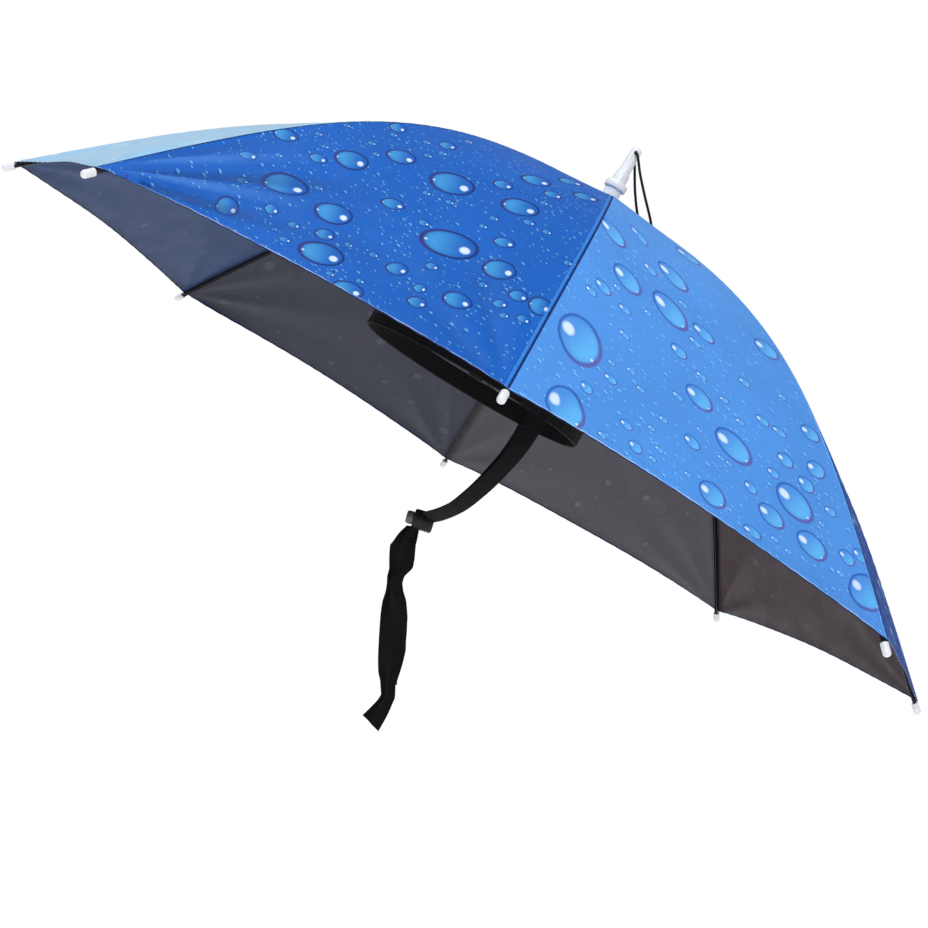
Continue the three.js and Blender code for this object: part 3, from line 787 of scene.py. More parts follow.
def relief(number, x, y, left, right, hem):
    """How far the cloth stands out from its stretched form, and how high on a wrinkle each
    point lies, from -1 to 1."""
    rng = random.Random(100 + number)
    total = SWELL_HEIGHT * np.sin(x * 41 + rng.uniform(0, 6)) * np.sin(y * 23 + rng.uniform(0, 6))
    fold = np.zeros_like(x)
    near_seam = np.minimum(left, right)
    back = np.maximum(GORE_LENGTH - y, 0)
    for edge, pull in zip((left, right), CORNER_PULL[number]):
        away = np.hypot(edge, back)
        angle = np.arctan2(edge, back + 1e-9)
        phase = WRINKLE_PHASE + 1.7 * (number - 2) + (0.9 if edge is right else 0)
        stretched = 1 - np.exp(-near_seam / WRINKLE_FADE)
        past = np.clip((away - FINE_START) / FINE_PEAK, 0, None)
        broad = stretched * away / BROAD_PEAK * np.exp(1 - away / BROAD_PEAK)
        broad *= np.sin(angle * BROAD_PER_ANGLE + phase)
        fine = stretched * past * np.exp(1 - past)
        fine *= np.sin(angle * FINE_PER_ANGLE + 2 * phase)
        total = total + pull * (BROAD_HEIGHT * broad + FINE_HEIGHT * fine)
        fold = fold + pull * (0.40 * broad + 0.10 * fine)
        pucker = np.sin(y * 2 * math.pi / PUCKER_PITCH + 2 * np.sin(y * 31 + phase))
        beside_seam = np.exp(-edge / PUCKER_REACH) * (1 - np.exp(-edge / SEAM_EASE))
        total = total + PUCKER_HEIGHT * pucker * beside_seam
    hem_wave = np.sin(x * 2 * math.pi / HEM_WAVE_PITCH + 1.5 * np.sin(x * 47 + rng.uniform(0, 6)))
    total = total + HEM_WAVE_HEIGHT * hem_wave * np.exp(-hem / HEM_WAVE_REACH)
    total = total + DOUBLED * (fold_step(right, SEAM_FOLD) + fold_step(hem, HEM_FOLD))
    ease = np.clip(near_seam / SEAM_EASE, 0, 1)
    return total * ease, np.clip(fold, -1, 1)


ROWS = 110
COLUMNS = 64
SEAM_CROWDING = 1.15
CLOTH_DROP = 0.0001
CLOTH_SHARP = math.radians(55)


def gore_sides(number):
    """A gore's outer and inner points in rows and columns, and for each one its place on the
    flat pattern, its distances from the left seam, right seam and hem, and its fold. The
    first and last column are flanges that turn down along the seams."""
    across = np.linspace(-1, 1, COLUMNS + 1)
    across = np.sign(across) * (1 - (1 - np.abs(across)) ** SEAM_CROWDING)
    across = np.concatenate([[-1], across, [1]])
    hem_share = CLOTH_END - HEM_SCALLOP / RIB_LENGTH * (1 - across ** 2)
    share = CLOTH_START + (hem_share - CLOTH_START) * np.linspace(0, 1, ROWS + 1)[:, None]
    middle = np.interp(share, SHARES, MIDDLE)
    height = np.interp(share, SHARES, RIB_HEIGHT)
    fall = np.arctan(np.tan(slope_at(share)) / math.cos(HALF_PANEL))
    half_width = middle * math.tan(HALF_PANEL) - SEAM_GAP / 2
    x = across * half_width
    y = np.interp(share, SHARES, DOWN)
    left = half_width + x
    right = half_width - x
    hem = np.interp(hem_share, SHARES, DOWN) - y
    normal = np.stack([np.sin(fall), np.zeros_like(fall), np.cos(fall)], -1)
    rise, fold = relief(number, x, y, left, right, hem)
    outer = np.stack([middle, x, height], -1) + normal * (rise - CLOTH_DROP)[..., None]
    inner = outer - normal * CLOTH
    for edge, beside, inward in ((0, 1, 1), (-1, -2, -1)):
        step = np.array([0, inward * CLOTH, 0])
        outer[:, edge] = outer[:, beside] - normal[:, edge] * SEAM_FLANGE
        inner[:, beside] = outer[:, beside] - normal[:, beside] * CLOTH + step
        inner[:, edge] = outer[:, edge] + step
    flat = np.stack([x, y, np.zeros_like(x)], -1)
    edges = np.stack([left, right, hem], -1)
    folds = np.stack([fold, fold, fold], -1)
    return outer, inner, {"flat": flat, "edges": edges, "fold": folds}


def gore_faces(rows, columns):
    """Faces of the outer side, the inner side and the rim, and the material slot of each."""
    count = rows * columns
    index = np.arange(count).reshape(rows, columns)
    corners = [index[:-1, :-1], index[1:, :-1], index[1:, 1:], index[:-1, 1:]]
    quads = np.stack(corners, -1).reshape(-1, 4)
    rim = np.concatenate([index[0, :], index[1:, -1], index[-1, -2::-1], index[-2:0:-1, 0]])
    after = np.roll(rim, -1)
    sides = np.stack([rim, after, after + count, rim + count], -1)
    at_hem = np.isin(rim, index[-1, :]) & np.isin(after, index[-1, :])
    faces = np.concatenate([quads, quads[:, [0, 3, 2, 1]] + count, sides])
    slots = np.concatenate([np.zeros(len(quads)), np.ones(len(quads)), np.where(at_hem, 2, 0)])
    return faces, slots


def store_drops(mesh, flat, charted):
    """Stores, for each face corner, its place in the round form of the drop nearest the face."""
    corners = np.zeros(len(mesh.loops), np.int32)
    mesh.loops.foreach_get("vertex_index", corners)
    corner_places = flat[corners, :2].reshape(-1, 4, 2)
    face_places = corner_places.mean(1)
    for layer, drops in charted.items():
        centres, inverses = (np.array(column) for column in zip(*drops))
        local = np.einsum("dij,fdj->fdi", inverses, face_places[:, None] - centres[None])
        best = np.linalg.norm(local, axis=2).argmin(1)
        local = np.einsum("fij,fcj->fci", inverses[best], corner_places - centres[best][:, None])
        store(mesh, layer, np.pad(local, ((0, 0), (0, 0), (0, 1))), "CORNER")


def gore(number):
    outer, inner, places = gore_sides(number)
    faces, slots = gore_faces(*outer.shape[:2])
    points = np.concatenate([outer.reshape(-1, 3), inner.reshape(-1, 3)])
    shaders = [outside_shader(number), inside_shader(number), HEM_EDGE]
    piece = mesh_object(f"gore_{number}", points, faces, shaders, gore_matrix(number), slots,
                        CLOTH_SHARP)
    both_sides = {name: np.tile(values.reshape(-1, 3), (2, 1)) for name, values in places.items()}
    for name, values in both_sides.items():
        store(piece.data, name, values)
    store_drops(piece.data, both_sides["flat"], CHARTS[number])
    keep(piece, "canopy_cloth", f"canopy_panel_{number}")
    2 * GORE_HALF_WIDTH
    GORE_LENGTH * GORE_HALF_WIDTH
    f"rib_steel_{number}"
    f"rib_steel_{number % PANELS + 1}"


# Plain finishes

def grained(name, colour, roughness, grain=1200, depth=0.00006, **constants):
    """Moulded plastic, paint or metal: a little mottled, with a fine grain."""
    shader = Shader(name, **constants)
    place = shader.object_place()
    shader.colour(shader.mix(shader.noise(place, 60, 3), scaled(colour, 0.82), scaled(colour, 1.12)))
    shader.roughness(roughness - 0.06, roughness + 0.08, place, 150, 3)
    shader.bump(shader.noise(place, grain, 3), depth, 0.5)
    return shader


def woven_shader(name, rib_pitch):
    """Black ribbon or elastic: ribs across its length and fine threads along it."""
    shader = Shader(name, sheen_weight=0.02, sheen_roughness=0.5, specular_ior_level=0.08)
    along, across, _ = shader.attribute("weave")
    ribs = along.wave(rib_pitch)
    place = shader.object_place()
    tone = shader.mix(shader.noise(place, 250, 3), (0.003, 0.003, 0.004), (0.009, 0.009, 0.010))
    shader.colour(shader.mix(ribs * 0.4, tone, (0.014, 0.014, 0.016)))
    shader.roughness(0.62, 0.8, place, 200)
    shader.bump(ribs + across.wave(THREAD_PITCH) * 0.5, 0.00025, 0.7)
    return shader


def cord_shader():
    """Braided cover of round elastic."""
    shader = Shader("braided_cord", sheen_weight=0.05, specular_ior_level=0.2)
    place = shader.object_place()
    shader.colour(shader.mix(shader.noise(place, 900, 3), (0.003, 0.003, 0.004), (0.012, 0.012, 0.013)))
    shader.roughness(0.6, 0.8, place, 300)
    shader.bump(shader.noise(place, 1800, 1), 0.0002, 0.7)
    return shader


THREAD_PITCH = 0.0008
RIBBON_RIB_PITCH = 0.0011
ELASTIC_RIB_PITCH = 0.0016

RIB_STEEL = grained("rib_paint", (0.012, 0.012, 0.015), 0.38, metallic=0.3)
WHITE_PLASTIC = grained("white_plastic", (0.70, 0.72, 0.76), 0.30, 500, 0.00003)
BLACK_PLASTIC = grained("black_plastic", (0.008, 0.008, 0.009), 0.50, specular_ior_level=0.25)
GREY_PLASTIC = grained("grey_plastic", (0.10, 0.10, 0.105), 0.38)
RIVET_METAL = grained("rivet_metal", (0.35, 0.35, 0.36), 0.3, metallic=1.0)
RIBBON = woven_shader("ribbon", RIBBON_RIB_PITCH)
ELASTIC = woven_shader("elastic", ELASTIC_RIB_PITCH)


# Frame: ribs, stretchers and tip caps

CLEARANCE = 0.0003
ACROSS = Vector((0, 1, 0))
RIB_WIDTH = 0.0024
RIB_DEPTH = 0.00294
RIB_START = 0.0290
RIB_IN_CAP = 0.0036
RIB_STEPS = 48
CHANNEL_WALL = 0.0005
STRETCHER_PLACE = 0.4
STRETCHER_DROP = 0.0026
STRETCHER_WIDTH = 0.0022
STRETCHER_CORNER = 0.0005
STRETCHER_TAPER = ((0, 0.6), (0.02, 1), (0.97, 1), (1, 0.7))
RUNNER_RADIUS = 0.013
RUNNER_BOTTOM = -0.040
RUNNER_FLANGE = 0.0044
RIVET_RADIUS = 0.0009
RIVET_HALF = 0.0019
RIVET_RISE = 0.0002
CAP_RADIUS = 0.0026
CAP_NOSE = 0.0023
CAP_GROOVES = (0.0022, 0.0034)
CAP_GROOVE_DEPTH = 0.00028


def channel(width, wall):
    """Section of a square channel that is open below."""
    outer = width / 2
    inner = outer - wall
    return [(outer, outer), (-outer, outer), (-outer, -outer), (-inner, -outer), (-inner, inner),
            (inner, inner), (inner, -outer), (outer, -outer)]


def grooves(radius, depth, width, flank, starts):
    """Rows of a turned piece's grooves, which start at those heights."""
    rows = []
    for start in starts:
        rows += [(radius, start), (radius - depth, start + flank),
                 (radius - depth, start + width - flank), (radius, start + width)]
    return rows


def rib(number):
    section = channel(RIB_WIDTH, CHANNEL_WALL)
    sections = []
    for share in np.linspace(RIB_START, CLOTH_END + RIB_IN_CAP / RIB_LENGTH, RIB_STEPS + 1):
        slope = float(slope_at(share))
        up = Vector((math.sin(slope), 0, math.cos(slope)))
        sections.append(placed(section, rib_point(share, RIB_DEPTH), ACROSS, up))
    parts = Parts()
    parts.loft(sections)
    piece = parts.object(f"rib_steel_{number}", RIB_STEEL, rib_matrix(number))
    keep(piece, "rib_steel", f"rib_{number}")


def stretcher(number):
    """A stretcher from the runner to a rib, and the rivet that joins it to the rib."""
    inner = Vector((RUNNER_RADIUS + CLEARANCE, 0, RUNNER_BOTTOM + RUNNER_FLANGE / 2))
    outer = rib_point(STRETCHER_PLACE, RIB_DEPTH + STRETCHER_DROP)
    up = (outer - inner).normalized().cross(ACROSS)
    sections = []
    for share, width in STRETCHER_TAPER:
        outline = rounded(STRETCHER_WIDTH * width, STRETCHER_WIDTH, STRETCHER_CORNER)
        sections.append(placed(outline, inner.lerp(outer, share), ACROSS, up))
    parts = Parts()
    parts.loft(sections)
    piece = parts.object(f"stretcher_steel_{number}", RIB_STEEL, rib_matrix(number))
    keep(piece, "rib_steel", f"stretcher_{number}")
    rivet = Parts()
    rows = [(0, -RIVET_HALF), (RIVET_RADIUS - 0.0002, -RIVET_HALF), (RIVET_RADIUS, 0.0003 - RIVET_HALF),
            (RIVET_RADIUS, RIVET_HALF - 0.0003), (RIVET_RADIUS - 0.0002, RIVET_HALF), (0, RIVET_HALF)]
    middle = Matrix.Translation(outer - up * RIVET_RISE)
    rivet.turned(rows, 16, middle @ Matrix.Rotation(math.pi / 2, 4, "X"))
    keep(rivet.object(f"rivet_{number}", RIVET_METAL, rib_matrix(number)), "rib_steel")


def tip_cap(number):
    """Round plastic cap with a rolled rim and two fine grooves."""
    rows = [(0, CLEARANCE), (CAP_RADIUS - 0.0006, CLEARANCE),
            (CAP_RADIUS - 0.0001, CLEARANCE + 0.0002), (CAP_RADIUS, CLEARANCE + 0.0007)]
    rows += grooves(CAP_RADIUS, CAP_GROOVE_DEPTH, 0.0007, 0.0002, CAP_GROOVES)
    for angle in np.linspace(0, math.pi / 2, 9):
        rows.append((CAP_RADIUS * math.cos(angle), CAP_LENGTH - CAP_NOSE * (1 - math.sin(angle))))
    parts = Parts()
    parts.turned(rows, 32)
    slope = float(slope_at(CLOTH_END))
    rib_end = Matrix.Translation(rib_point(CLOTH_END, RIB_DEPTH))
    where = rib_matrix(number) @ rib_end @ Matrix.Rotation(math.pi / 2 + slope, 4, "Y")
    keep(parts.object(f"cap_{number}", WHITE_PLASTIC, where), "white_plastic", f"tip_cap_{number}")


for number in range(1, PANELS + 1):
    rib(number)
    stretcher(number)
    tip_cap(number)
for number in range(1, PANELS + 1):
    gore(number)


# Hub, post, runner and finial, in heights along the post from the top of the cloth

HUB_RADIUS = 0.012
HUB_TOP = -0.00355
HUB_HEIGHT = 0.009
HUB_EDGE = 0.001
POST_RADIUS = 0.0045
POST_BOTTOM = -0.0487
POST_EDGE = 0.0004
RUNNER_TOP = -0.031
RUNNER_NECK = 0.008
RUNNER_EDGE = 0.0006
FINIAL_TOP = 0.043
LOOP_HOLE_DROP = 0.0045
LOOP_HOLE_RADIUS = 0.0013

# Radius and height of the finial's base, collar, stem and rounded top
FINIAL_PROFILE = [
    (0, HUB_TOP + CLEARANCE), (0.0064, HUB_TOP + CLEARANCE), (0.0064, 0.0072), (0.0082, 0.0079),
    (0.0084, 0.0083), (0.0084, 0.0122), (0.0081, 0.0127), (0.0061, 0.0131), (0.0058, 0.0134),
    (0.0053, 0.0210), (0.0050, 0.0214), (0.0046, 0.0217), (0.0044, 0.0221),
    (0.0041, FINIAL_TOP - 0.0024), (0.0037, FINIAL_TOP - 0.0012), (0.0029, FINIAL_TOP - 0.0003),
    (0.0016, FINIAL_TOP), (0, FINIAL_TOP),
]


def bevelled(radius, bottom, top, edge):
    return [(0, bottom), (radius - edge, bottom), (radius - 0.3 * edge, bottom + 0.3 * edge),
            (radius, bottom + edge), (radius, top - edge), (radius - 0.3 * edge, top - 0.3 * edge),
            (radius - edge, top), (0, top)]


def hub_and_post():
    hub = Parts()
    hub.turned(bevelled(HUB_RADIUS, HUB_TOP - HUB_HEIGHT, HUB_TOP, HUB_EDGE), 64)
    keep(hub.object("hub_moulding", BLACK_PLASTIC, CANOPY), "black_plastic", "hub")
    post = Parts()
    post.turned(bevelled(POST_RADIUS, POST_BOTTOM, HUB_TOP - HUB_HEIGHT - CLEARANCE, POST_EDGE), 48)
    keep(post.object("post_tube", RIB_STEEL, CANOPY), "rib_steel", "post")


def runner():
    """A ring round the post, with a wide flange below that carries the stretchers."""
    bore = POST_RADIUS + CLEARANCE
    flange_top = RUNNER_BOTTOM + RUNNER_FLANGE
    edge = RUNNER_EDGE
    profile = [(bore, RUNNER_BOTTOM), (RUNNER_RADIUS - edge, RUNNER_BOTTOM),
               (RUNNER_RADIUS, RUNNER_BOTTOM + edge), (RUNNER_RADIUS, flange_top - edge),
               (RUNNER_RADIUS - edge, flange_top), (RUNNER_NECK + edge, flange_top),
               (RUNNER_NECK, flange_top + edge), (RUNNER_NECK, RUNNER_TOP - edge),
               (RUNNER_NECK - edge, RUNNER_TOP), (bore, RUNNER_TOP)]
    sections = []
    for j in range(64):
        turn = Matrix.Rotation(2 * math.pi * j / 64, 3, "Z")
        sections.append([turn @ Vector((radius, 0, height)) for radius, height in profile])
    parts = Parts()
    parts.loft(sections, ring=True)
    keep(parts.object("runner_moulding", BLACK_PLASTIC, CANOPY), "black_plastic", "runner")


def finial():
    """The white spike, with a hole across its top for the elastic loop."""
    parts = Parts()
    parts.turned(FINIAL_PROFILE, 56)
    piece = parts.object("finial_moulding", WHITE_PLASTIC)
    drill = Parts()
    hole = Matrix.Translation((0, 0, FINIAL_TOP - LOOP_HOLE_DROP)) @ Matrix.Rotation(math.pi / 2, 4, "Y")
    drill.turned([(0, -0.01), (LOOP_HOLE_RADIUS, -0.01), (LOOP_HOLE_RADIUS, 0.01), (0, 0.01)], 24, hole)
    drill_piece = drill.object("drill", WHITE_PLASTIC)
    cut = piece.modifiers.new("cut", "BOOLEAN")
    cut.object = drill_piece
    cut.operation = "DIFFERENCE"
    depsgraph = bpy.context.evaluated_depsgraph_get()
    drilled = bpy.data.meshes.new_from_object(piece.evaluated_get(depsgraph))
    piece.modifiers.clear()
    piece.data = drilled
    bpy.data.objects.remove(drill_piece)
    drilled.transform(CANOPY)
    keep(piece, "white_plastic", "finial")


# Elastic loop: the route's points in millimetres, from the top of the cloth along the post
LOOP_POINTS = [
    (0.2, 0, 38.5), (2.6, 0, 38.5), (5, 0, 38.5), (7.4, 1.3, 37.4), (8.4, 4, 34), (7.4, 10, 26.5),
    (5, 21, 15), (1.5, 33, 3.5), (-3, 41.5, -4.6), (-8.5, 49.5, -7.9), (-14, 57.5, -10),
    (-20, 67, -12.5), (-28, 76.5, -15.5), (-36.5, 83, -18), (-45, 84.5, -19.3), (-50.5, 79, -18.4),
    (-49, 70, -16), (-42, 60.5, -13.1), (-34, 50.5, -10.2), (-25.5, 39, -6.6), (-17.5, 26, 3.5),
    (-12, 15, 16.5), (-9.2, 6.5, 29.5), (-7.8, 1.8, 37), (-5, 0, 38.5), (-2.6, 0, 38.5),
    (-0.2, 0, 38.5),
]
LOOP_DIAMETER = 0.002
LOOP_STEPS = 140


def finial_loop():
    route = smooth_route([CANOPY @ (Vector(p) * 0.001) for p in LOOP_POINTS], LOOP_STEPS)
    curve = bpy.data.curves.new("elastic_loop", "CURVE")
    curve.dimensions = "3D"
    curve.bevel_depth = LOOP_DIAMETER / 2
    curve.bevel_resolution = 4
    curve.use_fill_caps = True
    spline = curve.splines.new("POLY")
    spline.points.add(len(route) - 1)
    for point, place in zip(spline.points, route):
        point.co = (*place, 1)
    spline.use_smooth = True
    curve.materials.append(cord_shader().material)
    piece = bpy.data.objects.new("elastic_loop", curve)
    bpy.context.scene.collection.objects.link(piece)
    reach = sum((b - a).length for a, b in zip(route, route[1:]))
    keep(piece, "elastic_cord", "finial_loop")
    tuple(route[0])


hub_and_post()
runner()
finial()
finial_loop()


# Head band and cradle

LEVEL = Vector((0, 0, 1))
BAND_HALF_BREADTH = 0.0732
BAND_HALF_LENGTH = 0.0877
BAND_HEIGHT = 0.014
BAND_WALL = 0.0016
BAND_CHANNELS = 5
BAND_STEPS = 320
DISC_RADIUS = 0.016
DISC_BOTTOM = 0.112
DISC_THICKNESS = 0.003
DISC_EDGE = 0.0008
ARM_WIDTH = 0.012
ARM_THICKNESS = 0.0016
ARM_CORNER = 0.0006
ARM_STEPS = 40

PLEAT_SHARP = math.radians(70)
Spot = namedtuple("Spot", "place along across")


def woven(name, shader, sections, matrix=None, sharp=SHARP, ring=False):
    """A ribbon through sections of spots, each a place and how far along and across it lies."""
    parts = Parts()
    parts.loft([[spot.place for spot in section] for section in sections], ring)
    piece = parts.object(name, shader, matrix, sharp)
    store(piece.data, "weave", [(spot.along, spot.across, 0) for section in sections for spot in section])
    return piece


def band_point(angle, height):
    return Vector((BAND_HALF_BREADTH * math.sin(angle), -BAND_HALF_LENGTH * math.cos(angle), height))


def head_band():
    """Woven elastic with channels along it and fine ribs across."""
    lines = 6 * BAND_CHANNELS
    sections = []
    reach = 0
    last = band_point(0, 0)
    for i in range(BAND_STEPS):
        angle = 2 * math.pi * i / BAND_STEPS
        centre = band_point(angle, 0)
        reach += (centre - last).length
        last = centre
        out = Vector((centre.x / BAND_HALF_BREADTH ** 2, centre.y / BAND_HALF_LENGTH ** 2, 0)).normalized()
        section = []
        for side in (1, -1):
            for j in range(lines + 1):
                part = j / lines if side > 0 else 1 - j / lines
                swell = abs(math.sin(math.pi * BAND_CHANNELS * part)) ** 0.5
                edge = 0.45 if part in (0, 1) else 1
                through = side * (BAND_WALL / 2 * (0.62 + 0.36 * swell)) * edge
                height = (part - 0.5) * BAND_HEIGHT
                section.append(Spot(centre + LEVEL * height + out * through, reach, height))
        sections.append(section)
    piece = woven("elastic_band", ELASTIC, sections, CROWN, PLEAT_SHARP, ring=True)
    keep(piece, "elastic_band", "head_band")


def crown_cradle():
    """A disc under the post and four arms that curve down to the band."""
    foot_height = BAND_HEIGHT / 2 + CLEARANCE
    disc_middle = DISC_BOTTOM + DISC_THICKNESS / 2
    rise = disc_middle - foot_height
    top = Vector((0, APEX.y, disc_middle))
    outline = rounded(ARM_WIDTH, ARM_THICKNESS, ARM_CORNER)
    parts = Parts()
    parts.turned(bevelled(DISC_RADIUS, DISC_BOTTOM, DISC_BOTTOM + DISC_THICKNESS, DISC_EDGE), 64,
                 Matrix.Translation((0, APEX.y, 0)))
    for i in range(4):
        foot = band_point(math.pi / 2 * i, foot_height)
        reach = Vector((foot.x - top.x, foot.y - top.y, 0))
        across = LEVEL.cross(reach).normalized()
        sections = []
        for turn in np.linspace(math.asin(DISC_RADIUS / 2 / reach.length), math.pi / 2, ARM_STEPS + 1):
            centre = top + reach * math.sin(turn) - LEVEL * (rise * (1 - math.cos(turn)))
            along = reach * math.cos(turn) - LEVEL * (rise * math.sin(turn))
            sections.append(placed(outline, centre, across, along.cross(across).normalized()))
        parts.loft(sections)
    keep(parts.object("cradle_moulding", BLACK_PLASTIC, CROWN), "black_plastic", "crown_cradle")


head_band()
crown_cradle()


# Chin strap, its lock and its hanging ends

LOCK_RADIUS = 0.0074
LOCK_LENGTH = 0.015
LOCK_TILT = math.radians(16)
LOCK_PLACE = Vector((0, -0.038, -0.1045))
LOCK = Matrix.Translation(LOCK_PLACE) @ Matrix.Rotation(math.pi / 2 - LOCK_TILT, 4, "X")
LOCK_GROOVES = (-0.0045, -0.0025, -0.0005)
LOCK_GROOVE_DEPTH = 0.0004
STEM_GAP = 0.00005

# Roundings of the lock's ends: radius and distance from the end
LOCK_BACK = [(0, 0), (0.0056, 0), (0.0066, 0.0003), (0.0072, 0.0009), (LOCK_RADIUS, 0.0017)]
LOCK_FRONT = [(LOCK_RADIUS, 0.0017), (0.0072, 0.0008), (0.0066, 0.0002), (0.0056, 0), (0, 0)]

# The button's radius and height over its base, up to its dished top
BUTTON_PROFILE = [
    (0.0044, 0), (0.0048, 0.0002), (0.0048, 0.0032), (0.0046, 0.0042), (0.0040, 0.0048),
    (0.0034, 0.0050), (0.0028, 0.0047), (0, 0.0046),
]


def strap_lock():
    half = LOCK_LENGTH / 2
    rows = [(radius, inset - half) for radius, inset in LOCK_BACK]
    rows += grooves(LOCK_RADIUS, LOCK_GROOVE_DEPTH, 0.0010, 0.0003, LOCK_GROOVES)
    rows += [(radius, half - inset) for radius, inset in LOCK_FRONT]
    barrel = Parts()
    barrel.turned(rows, 56)
    keep(barrel.object("lock_barrel", BLACK_PLASTIC, LOCK), "black_plastic", "strap_lock")
    stem = half + STEM_GAP
    rows = [(0, stem), (BUTTON_PROFILE[0][0], stem)]
    rows += [(radius, half + CLEARANCE + height) for radius, height in BUTTON_PROFILE]
    button = Parts()
    button.turned(rows, 48)
    keep(button.object("lock_push_button", GREY_PLASTIC, LOCK), "grey_plastic", "lock_button")


STRAP_WIDTH = 0.012
STRAP_THICKNESS = 0.0013
STRAP_CORNER = 0.0005
STRAP_LENGTH = 0.135
STRAP_STEPS = 90
STRAP_SET_BACK = 0.052
STRAP_IN_LOCK = Vector((LOCK_RADIUS + CLEARANCE, 0.003, 0.0025))
JAW_HALF_WIDTH = 0.061

# The strap's way round the jaw, as shares of the jaw's half width and of the way from the
# band to the lock
Bend = namedtuple("Bend", "out forward down")
STRAP_PATH = [
    Bend(1.0, 0.09, 0.17), Bend(1.0, 0.2, 0.34), Bend(0.94, 0.32, 0.49), Bend(0.84, 0.44, 0.63),
    Bend(0.7, 0.57, 0.76), Bend(0.53, 0.71, 0.88), Bend(0.34, 0.86, 0.96),
]


def chin_strap(name, node, side):
    angle = math.acos(-STRAP_SET_BACK / BAND_HALF_LENGTH)
    top = CROWN @ band_point(angle, -BAND_HEIGHT / 2 - CLEARANCE)
    end = LOCK_PLACE + STRAP_IN_LOCK
    bends = [Vector((bend.out * JAW_HALF_WIDTH, top.y + (end.y - top.y) * bend.forward,
                     top.z + (end.z - top.z) * bend.down)) for bend in STRAP_PATH]
    route = smooth_route([top, *bends, end], STRAP_STEPS + 1)
    jaw = Vector((0, top.y / 2, top.z))
    outline = rounded(STRAP_WIDTH, STRAP_THICKNESS, STRAP_CORNER)
    sections = []
    for i, centre in enumerate(route):
        way = (route[min(i + 1, STRAP_STEPS)] - route[max(i - 1, 0)]).normalized()
        out = centre - jaw
        out = (out - way * out.dot(way)).normalized()
        section = placed(outline, centre, out.cross(way), out)
        sections.append([
            Spot(Vector((side * max(p.x, end.x), p.y, p.z)), STRAP_LENGTH * i / STRAP_STEPS, across)
            for p, (across, _) in zip(section, outline)
        ])
    keep(woven(name, RIBBON, sections), "strap_webbing", node)


TAIL_WIDTH = 0.020
TAIL_THICKNESS = 0.0007
TAIL_GAP = 0.0009
LONG_TAIL_DROP = 0.145
SHORT_TAIL_DROP = 0.112
LONG_TAIL_SWING = 0.033
LONG_TAIL_STEPS = 110
TAIL_LINES = 14
TAIL_FORWARD = 0.005
TAIL_TUCK = 0.0013
TAIL_CUT_START = 0.80
TAIL_CUT = math.radians(45)
TAIL_RIPPLE = 0.0004
TAIL_PLEAT = 0.0032
TAIL_PATH_STEPS = 400
TAIL_EASE = 13
SHORT_TAIL_ASIDE = 0.0022
SHORT_TAIL_ASIDE_FROM = 0.55
SHORT_TAIL_ASIDE_OVER = 0.2
LOCK_SLOPE_END = 0.06

# The ends' shape: shares of the long end's drop and of its swing forward, the turn of its
# face in degrees, and the share of its width that its folds leave
TailBend = namedtuple("TailBend", "down forward turn width")
TAIL_PATH = [TailBend(*row) for row in (
    (0, 0.08, 20, 0.36), (0.035, 0.19, 26, 0.64), (0.075, 0.30, 28, 0.95), (0.15, 0.32, 28, 0.95),
    (0.195, 0.34, 30, 0.88), (0.235, 0.47, 48, 0.66), (0.270, 0.50, 54, 0.58), (0.310, 0.50, 50, 0.66),
    (0.355, 0.49, 34, 0.86), (0.435, 0.49, 14, 0.98), (0.515, 0.51, 4, 1), (0.60, 0.54, 6, 0.98),
    (0.675, 0.60, 30, 0.88), (0.715, 0.63, 42, 0.84), (0.755, 0.65, 55, 0.72), (0.835, 0.65, 58, 0.76),
    (0.875, 0.73, 58, 0.80), (0.915, 0.815, 55, 0.82), (1, 1.02, 52, 0.85),
)]


def eased_path():
    """The path's rows, eased into each other at even steps down."""
    rows = np.array(TAIL_PATH)
    fine = np.linspace(0, 1, TAIL_PATH_STEPS)
    kernel = np.hanning(TAIL_EASE)
    kernel = kernel / kernel.sum()
    eased = []
    for column in (1, 2, 3):
        values = np.interp(fine, rows[:, 0], rows[:, column])
        padded = np.pad(values, TAIL_EASE // 2, mode="edge")
        eased.append(np.convolve(padded, kernel, "valid"))
    return fine, eased


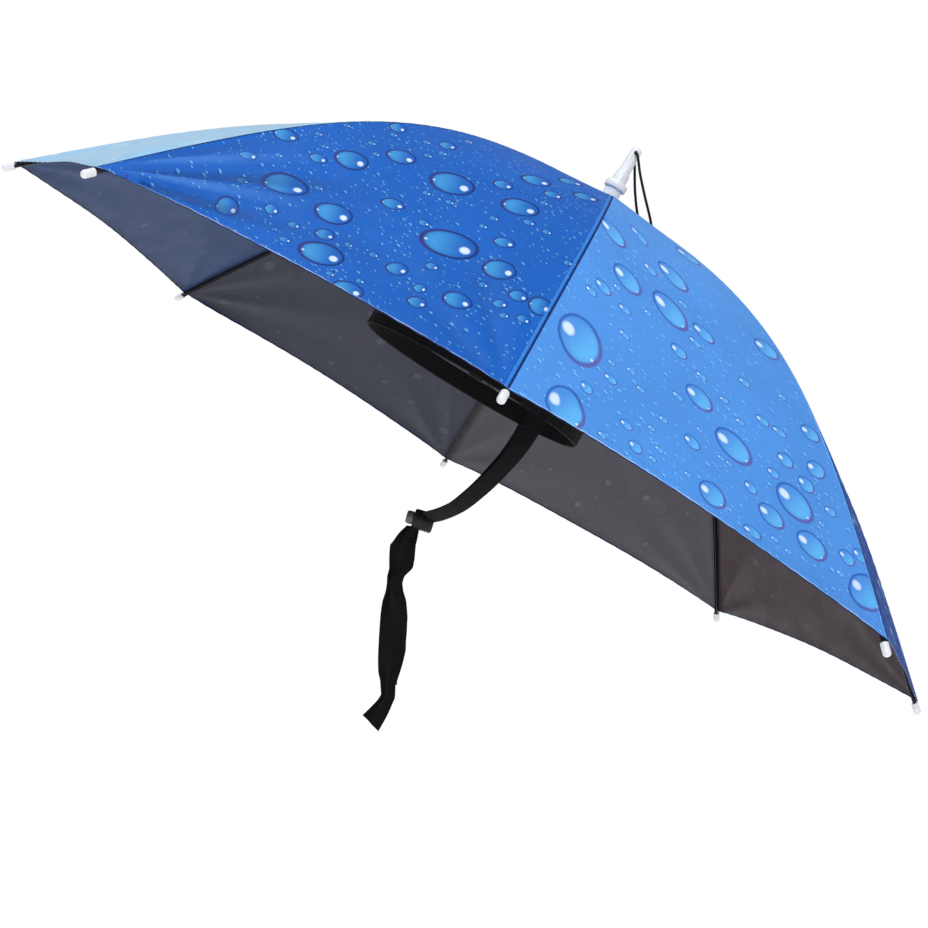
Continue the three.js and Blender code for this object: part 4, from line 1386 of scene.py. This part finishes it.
def strap_end(name, node, drop, side):
    """A ribbon end that hangs from the lock in loose pleats, with a slanting cut."""
    rear = TAIL_FORWARD - TAIL_PATH[0].width * TAIL_WIDTH / 2
    under = rear * math.tan(LOCK_TILT) - LOCK_RADIUS / math.cos(LOCK_TILT)
    top = LOCK_PLACE + Vector((0, -TAIL_FORWARD, under + TAIL_TUCK))
    fine, eased = eased_path()
    steps = int(LONG_TAIL_STEPS * drop / LONG_TAIL_DROP)
    sections = []
    for i in range(steps + 1):
        share = drop / LONG_TAIL_DROP * i / steps
        forward, turn, width = (float(np.interp(share, fine, values)) for values in eased)
        turn = math.radians(turn)
        wide = Vector((math.sin(turn), math.cos(turn), 0))
        out = Vector((math.cos(turn), -math.sin(turn), 0))
        cut_share = max(0.0, share - TAIL_CUT_START) / (1 - TAIL_CUT_START)
        top_slope = math.tan(LOCK_TILT) * max(0.0, 1 - share / LOCK_SLOPE_END)
        end_slope = math.tan(TAIL_CUT) * cut_share
        swing = forward * LONG_TAIL_SWING
        centre = top + Vector((0, -swing, top_slope * swing - share * LONG_TAIL_DROP))
        centre += out * (side * (TAIL_THICKNESS + TAIL_GAP) / 2)
        if side > 0:
            past = max(0.0, share - SHORT_TAIL_ASIDE_FROM)
            centre.y += SHORT_TAIL_ASIDE * past / SHORT_TAIL_ASIDE_OVER
        half = width * TAIL_WIDTH / 2
        pleat = TAIL_PLEAT * math.sqrt(max(0.0, 1 - min(1.0, width) ** 2)) * (1 - 0.8 * cut_share)
        section = []
        for face in (1, -1):
            for j in range(TAIL_LINES + 1):
                part = face * (2 * j / TAIL_LINES - 1)
                edge = 0.55 if abs(part) == 1 else 1
                ripple = pleat * math.sin(part * 4.2 + 0.6)
                ripple += TAIL_RIPPLE * math.cos(part * 2.2 + share * 21)
                lift = LEVEL * ((1 - part) * half * math.cos(turn) * (top_slope + end_slope))
                through = out * (ripple + face * edge * TAIL_THICKNESS / 2)
                place = centre + wide * (part * half) + lift + through
                section.append(Spot(place, share * LONG_TAIL_DROP, part * TAIL_WIDTH / 2))
        sections.append(section)
    piece = woven(name, RIBBON, sections, sharp=PLEAT_SHARP)
    keep(piece, "strap_webbing", node)


strap_lock()
chin_strap("ribbon_left", "chin_strap_left", 1)
chin_strap("ribbon_right", "chin_strap_right", -1)
strap_end("ribbon_end_short", "strap_end_short", SHORT_TAIL_DROP, 1)
strap_end("ribbon_end_long", "strap_end_long", LONG_TAIL_DROP, -1)


# Stage: a pale floor, a white surround and soft lamps

WHITE = (1, 1, 1, 1)
FLOOR_TOP = -1.0
FLOOR_RADIUS = 25
FLOOR_THICKNESS = 0.02
FLOOR_GLOW = 0.70
SURROUND_LIGHT = 0.40


def floor():
    shader = Shader("floor", roughness=0.9, emission_color=WHITE, emission_strength=FLOOR_GLOW)
    spots = shader.noise(shader.object_place(), 3)
    shader.colour(shader.mix(spots, (0.86, 0.86, 0.86), (0.90, 0.90, 0.90)))
    parts = Parts()
    rows = [(0, -FLOOR_THICKNESS), (FLOOR_RADIUS, -FLOOR_THICKNESS), (FLOOR_RADIUS, 0), (0, 0)]
    parts.turned(rows, 96, Matrix.Translation((0, 0, FLOOR_TOP)))
    parts.object("floor", shader)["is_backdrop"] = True


def surround():
    """Light from all sides, and plain white behind the hat."""
    world = bpy.data.worlds.new("surround")
    world.use_nodes = True
    nodes = world.node_tree.nodes
    light = nodes["Background"]
    light.inputs["Color"].default_value = WHITE
    light.inputs["Strength"].default_value = SURROUND_LIGHT
    seen = nodes.new("ShaderNodeBackground")
    seen.inputs["Color"].default_value = WHITE
    path = nodes.new("ShaderNodeLightPath")
    either = nodes.new("ShaderNodeMixShader")
    link = world.node_tree.links.new
    link(path.outputs["Is Camera Ray"], either.inputs[0])
    link(light.outputs[0], either.inputs[1])
    link(seen.outputs[0], either.inputs[2])
    link(either.outputs[0], nodes["World Output"].inputs[0])
    bpy.context.scene.world = world


def lamp(name, place, size, power):
    """A round soft lamp that points at the origin."""
    data = bpy.data.lights.new(name, "AREA")
    data.shape = "DISK"
    data.size = size
    data.energy = power
    light = bpy.data.objects.new(name, data)
    light.location = place
    light.rotation_euler = (-Vector(place)).to_track_quat("-Z", "Y").to_euler()
    bpy.context.scene.collection.objects.link(light)


floor()
surround()
lamp("key", (1.9, 0.3, 1.7), 0.8, 38)
lamp("top", (0.2, -0.3, 2.2), 1.4, 19)
bpy.context.scene.view_settings.view_transform = "Standard"

shown_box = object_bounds()
({"cad": [list(corner) for corner in cad_box],
           "visual": [list(corner) for corner in shown_box]})
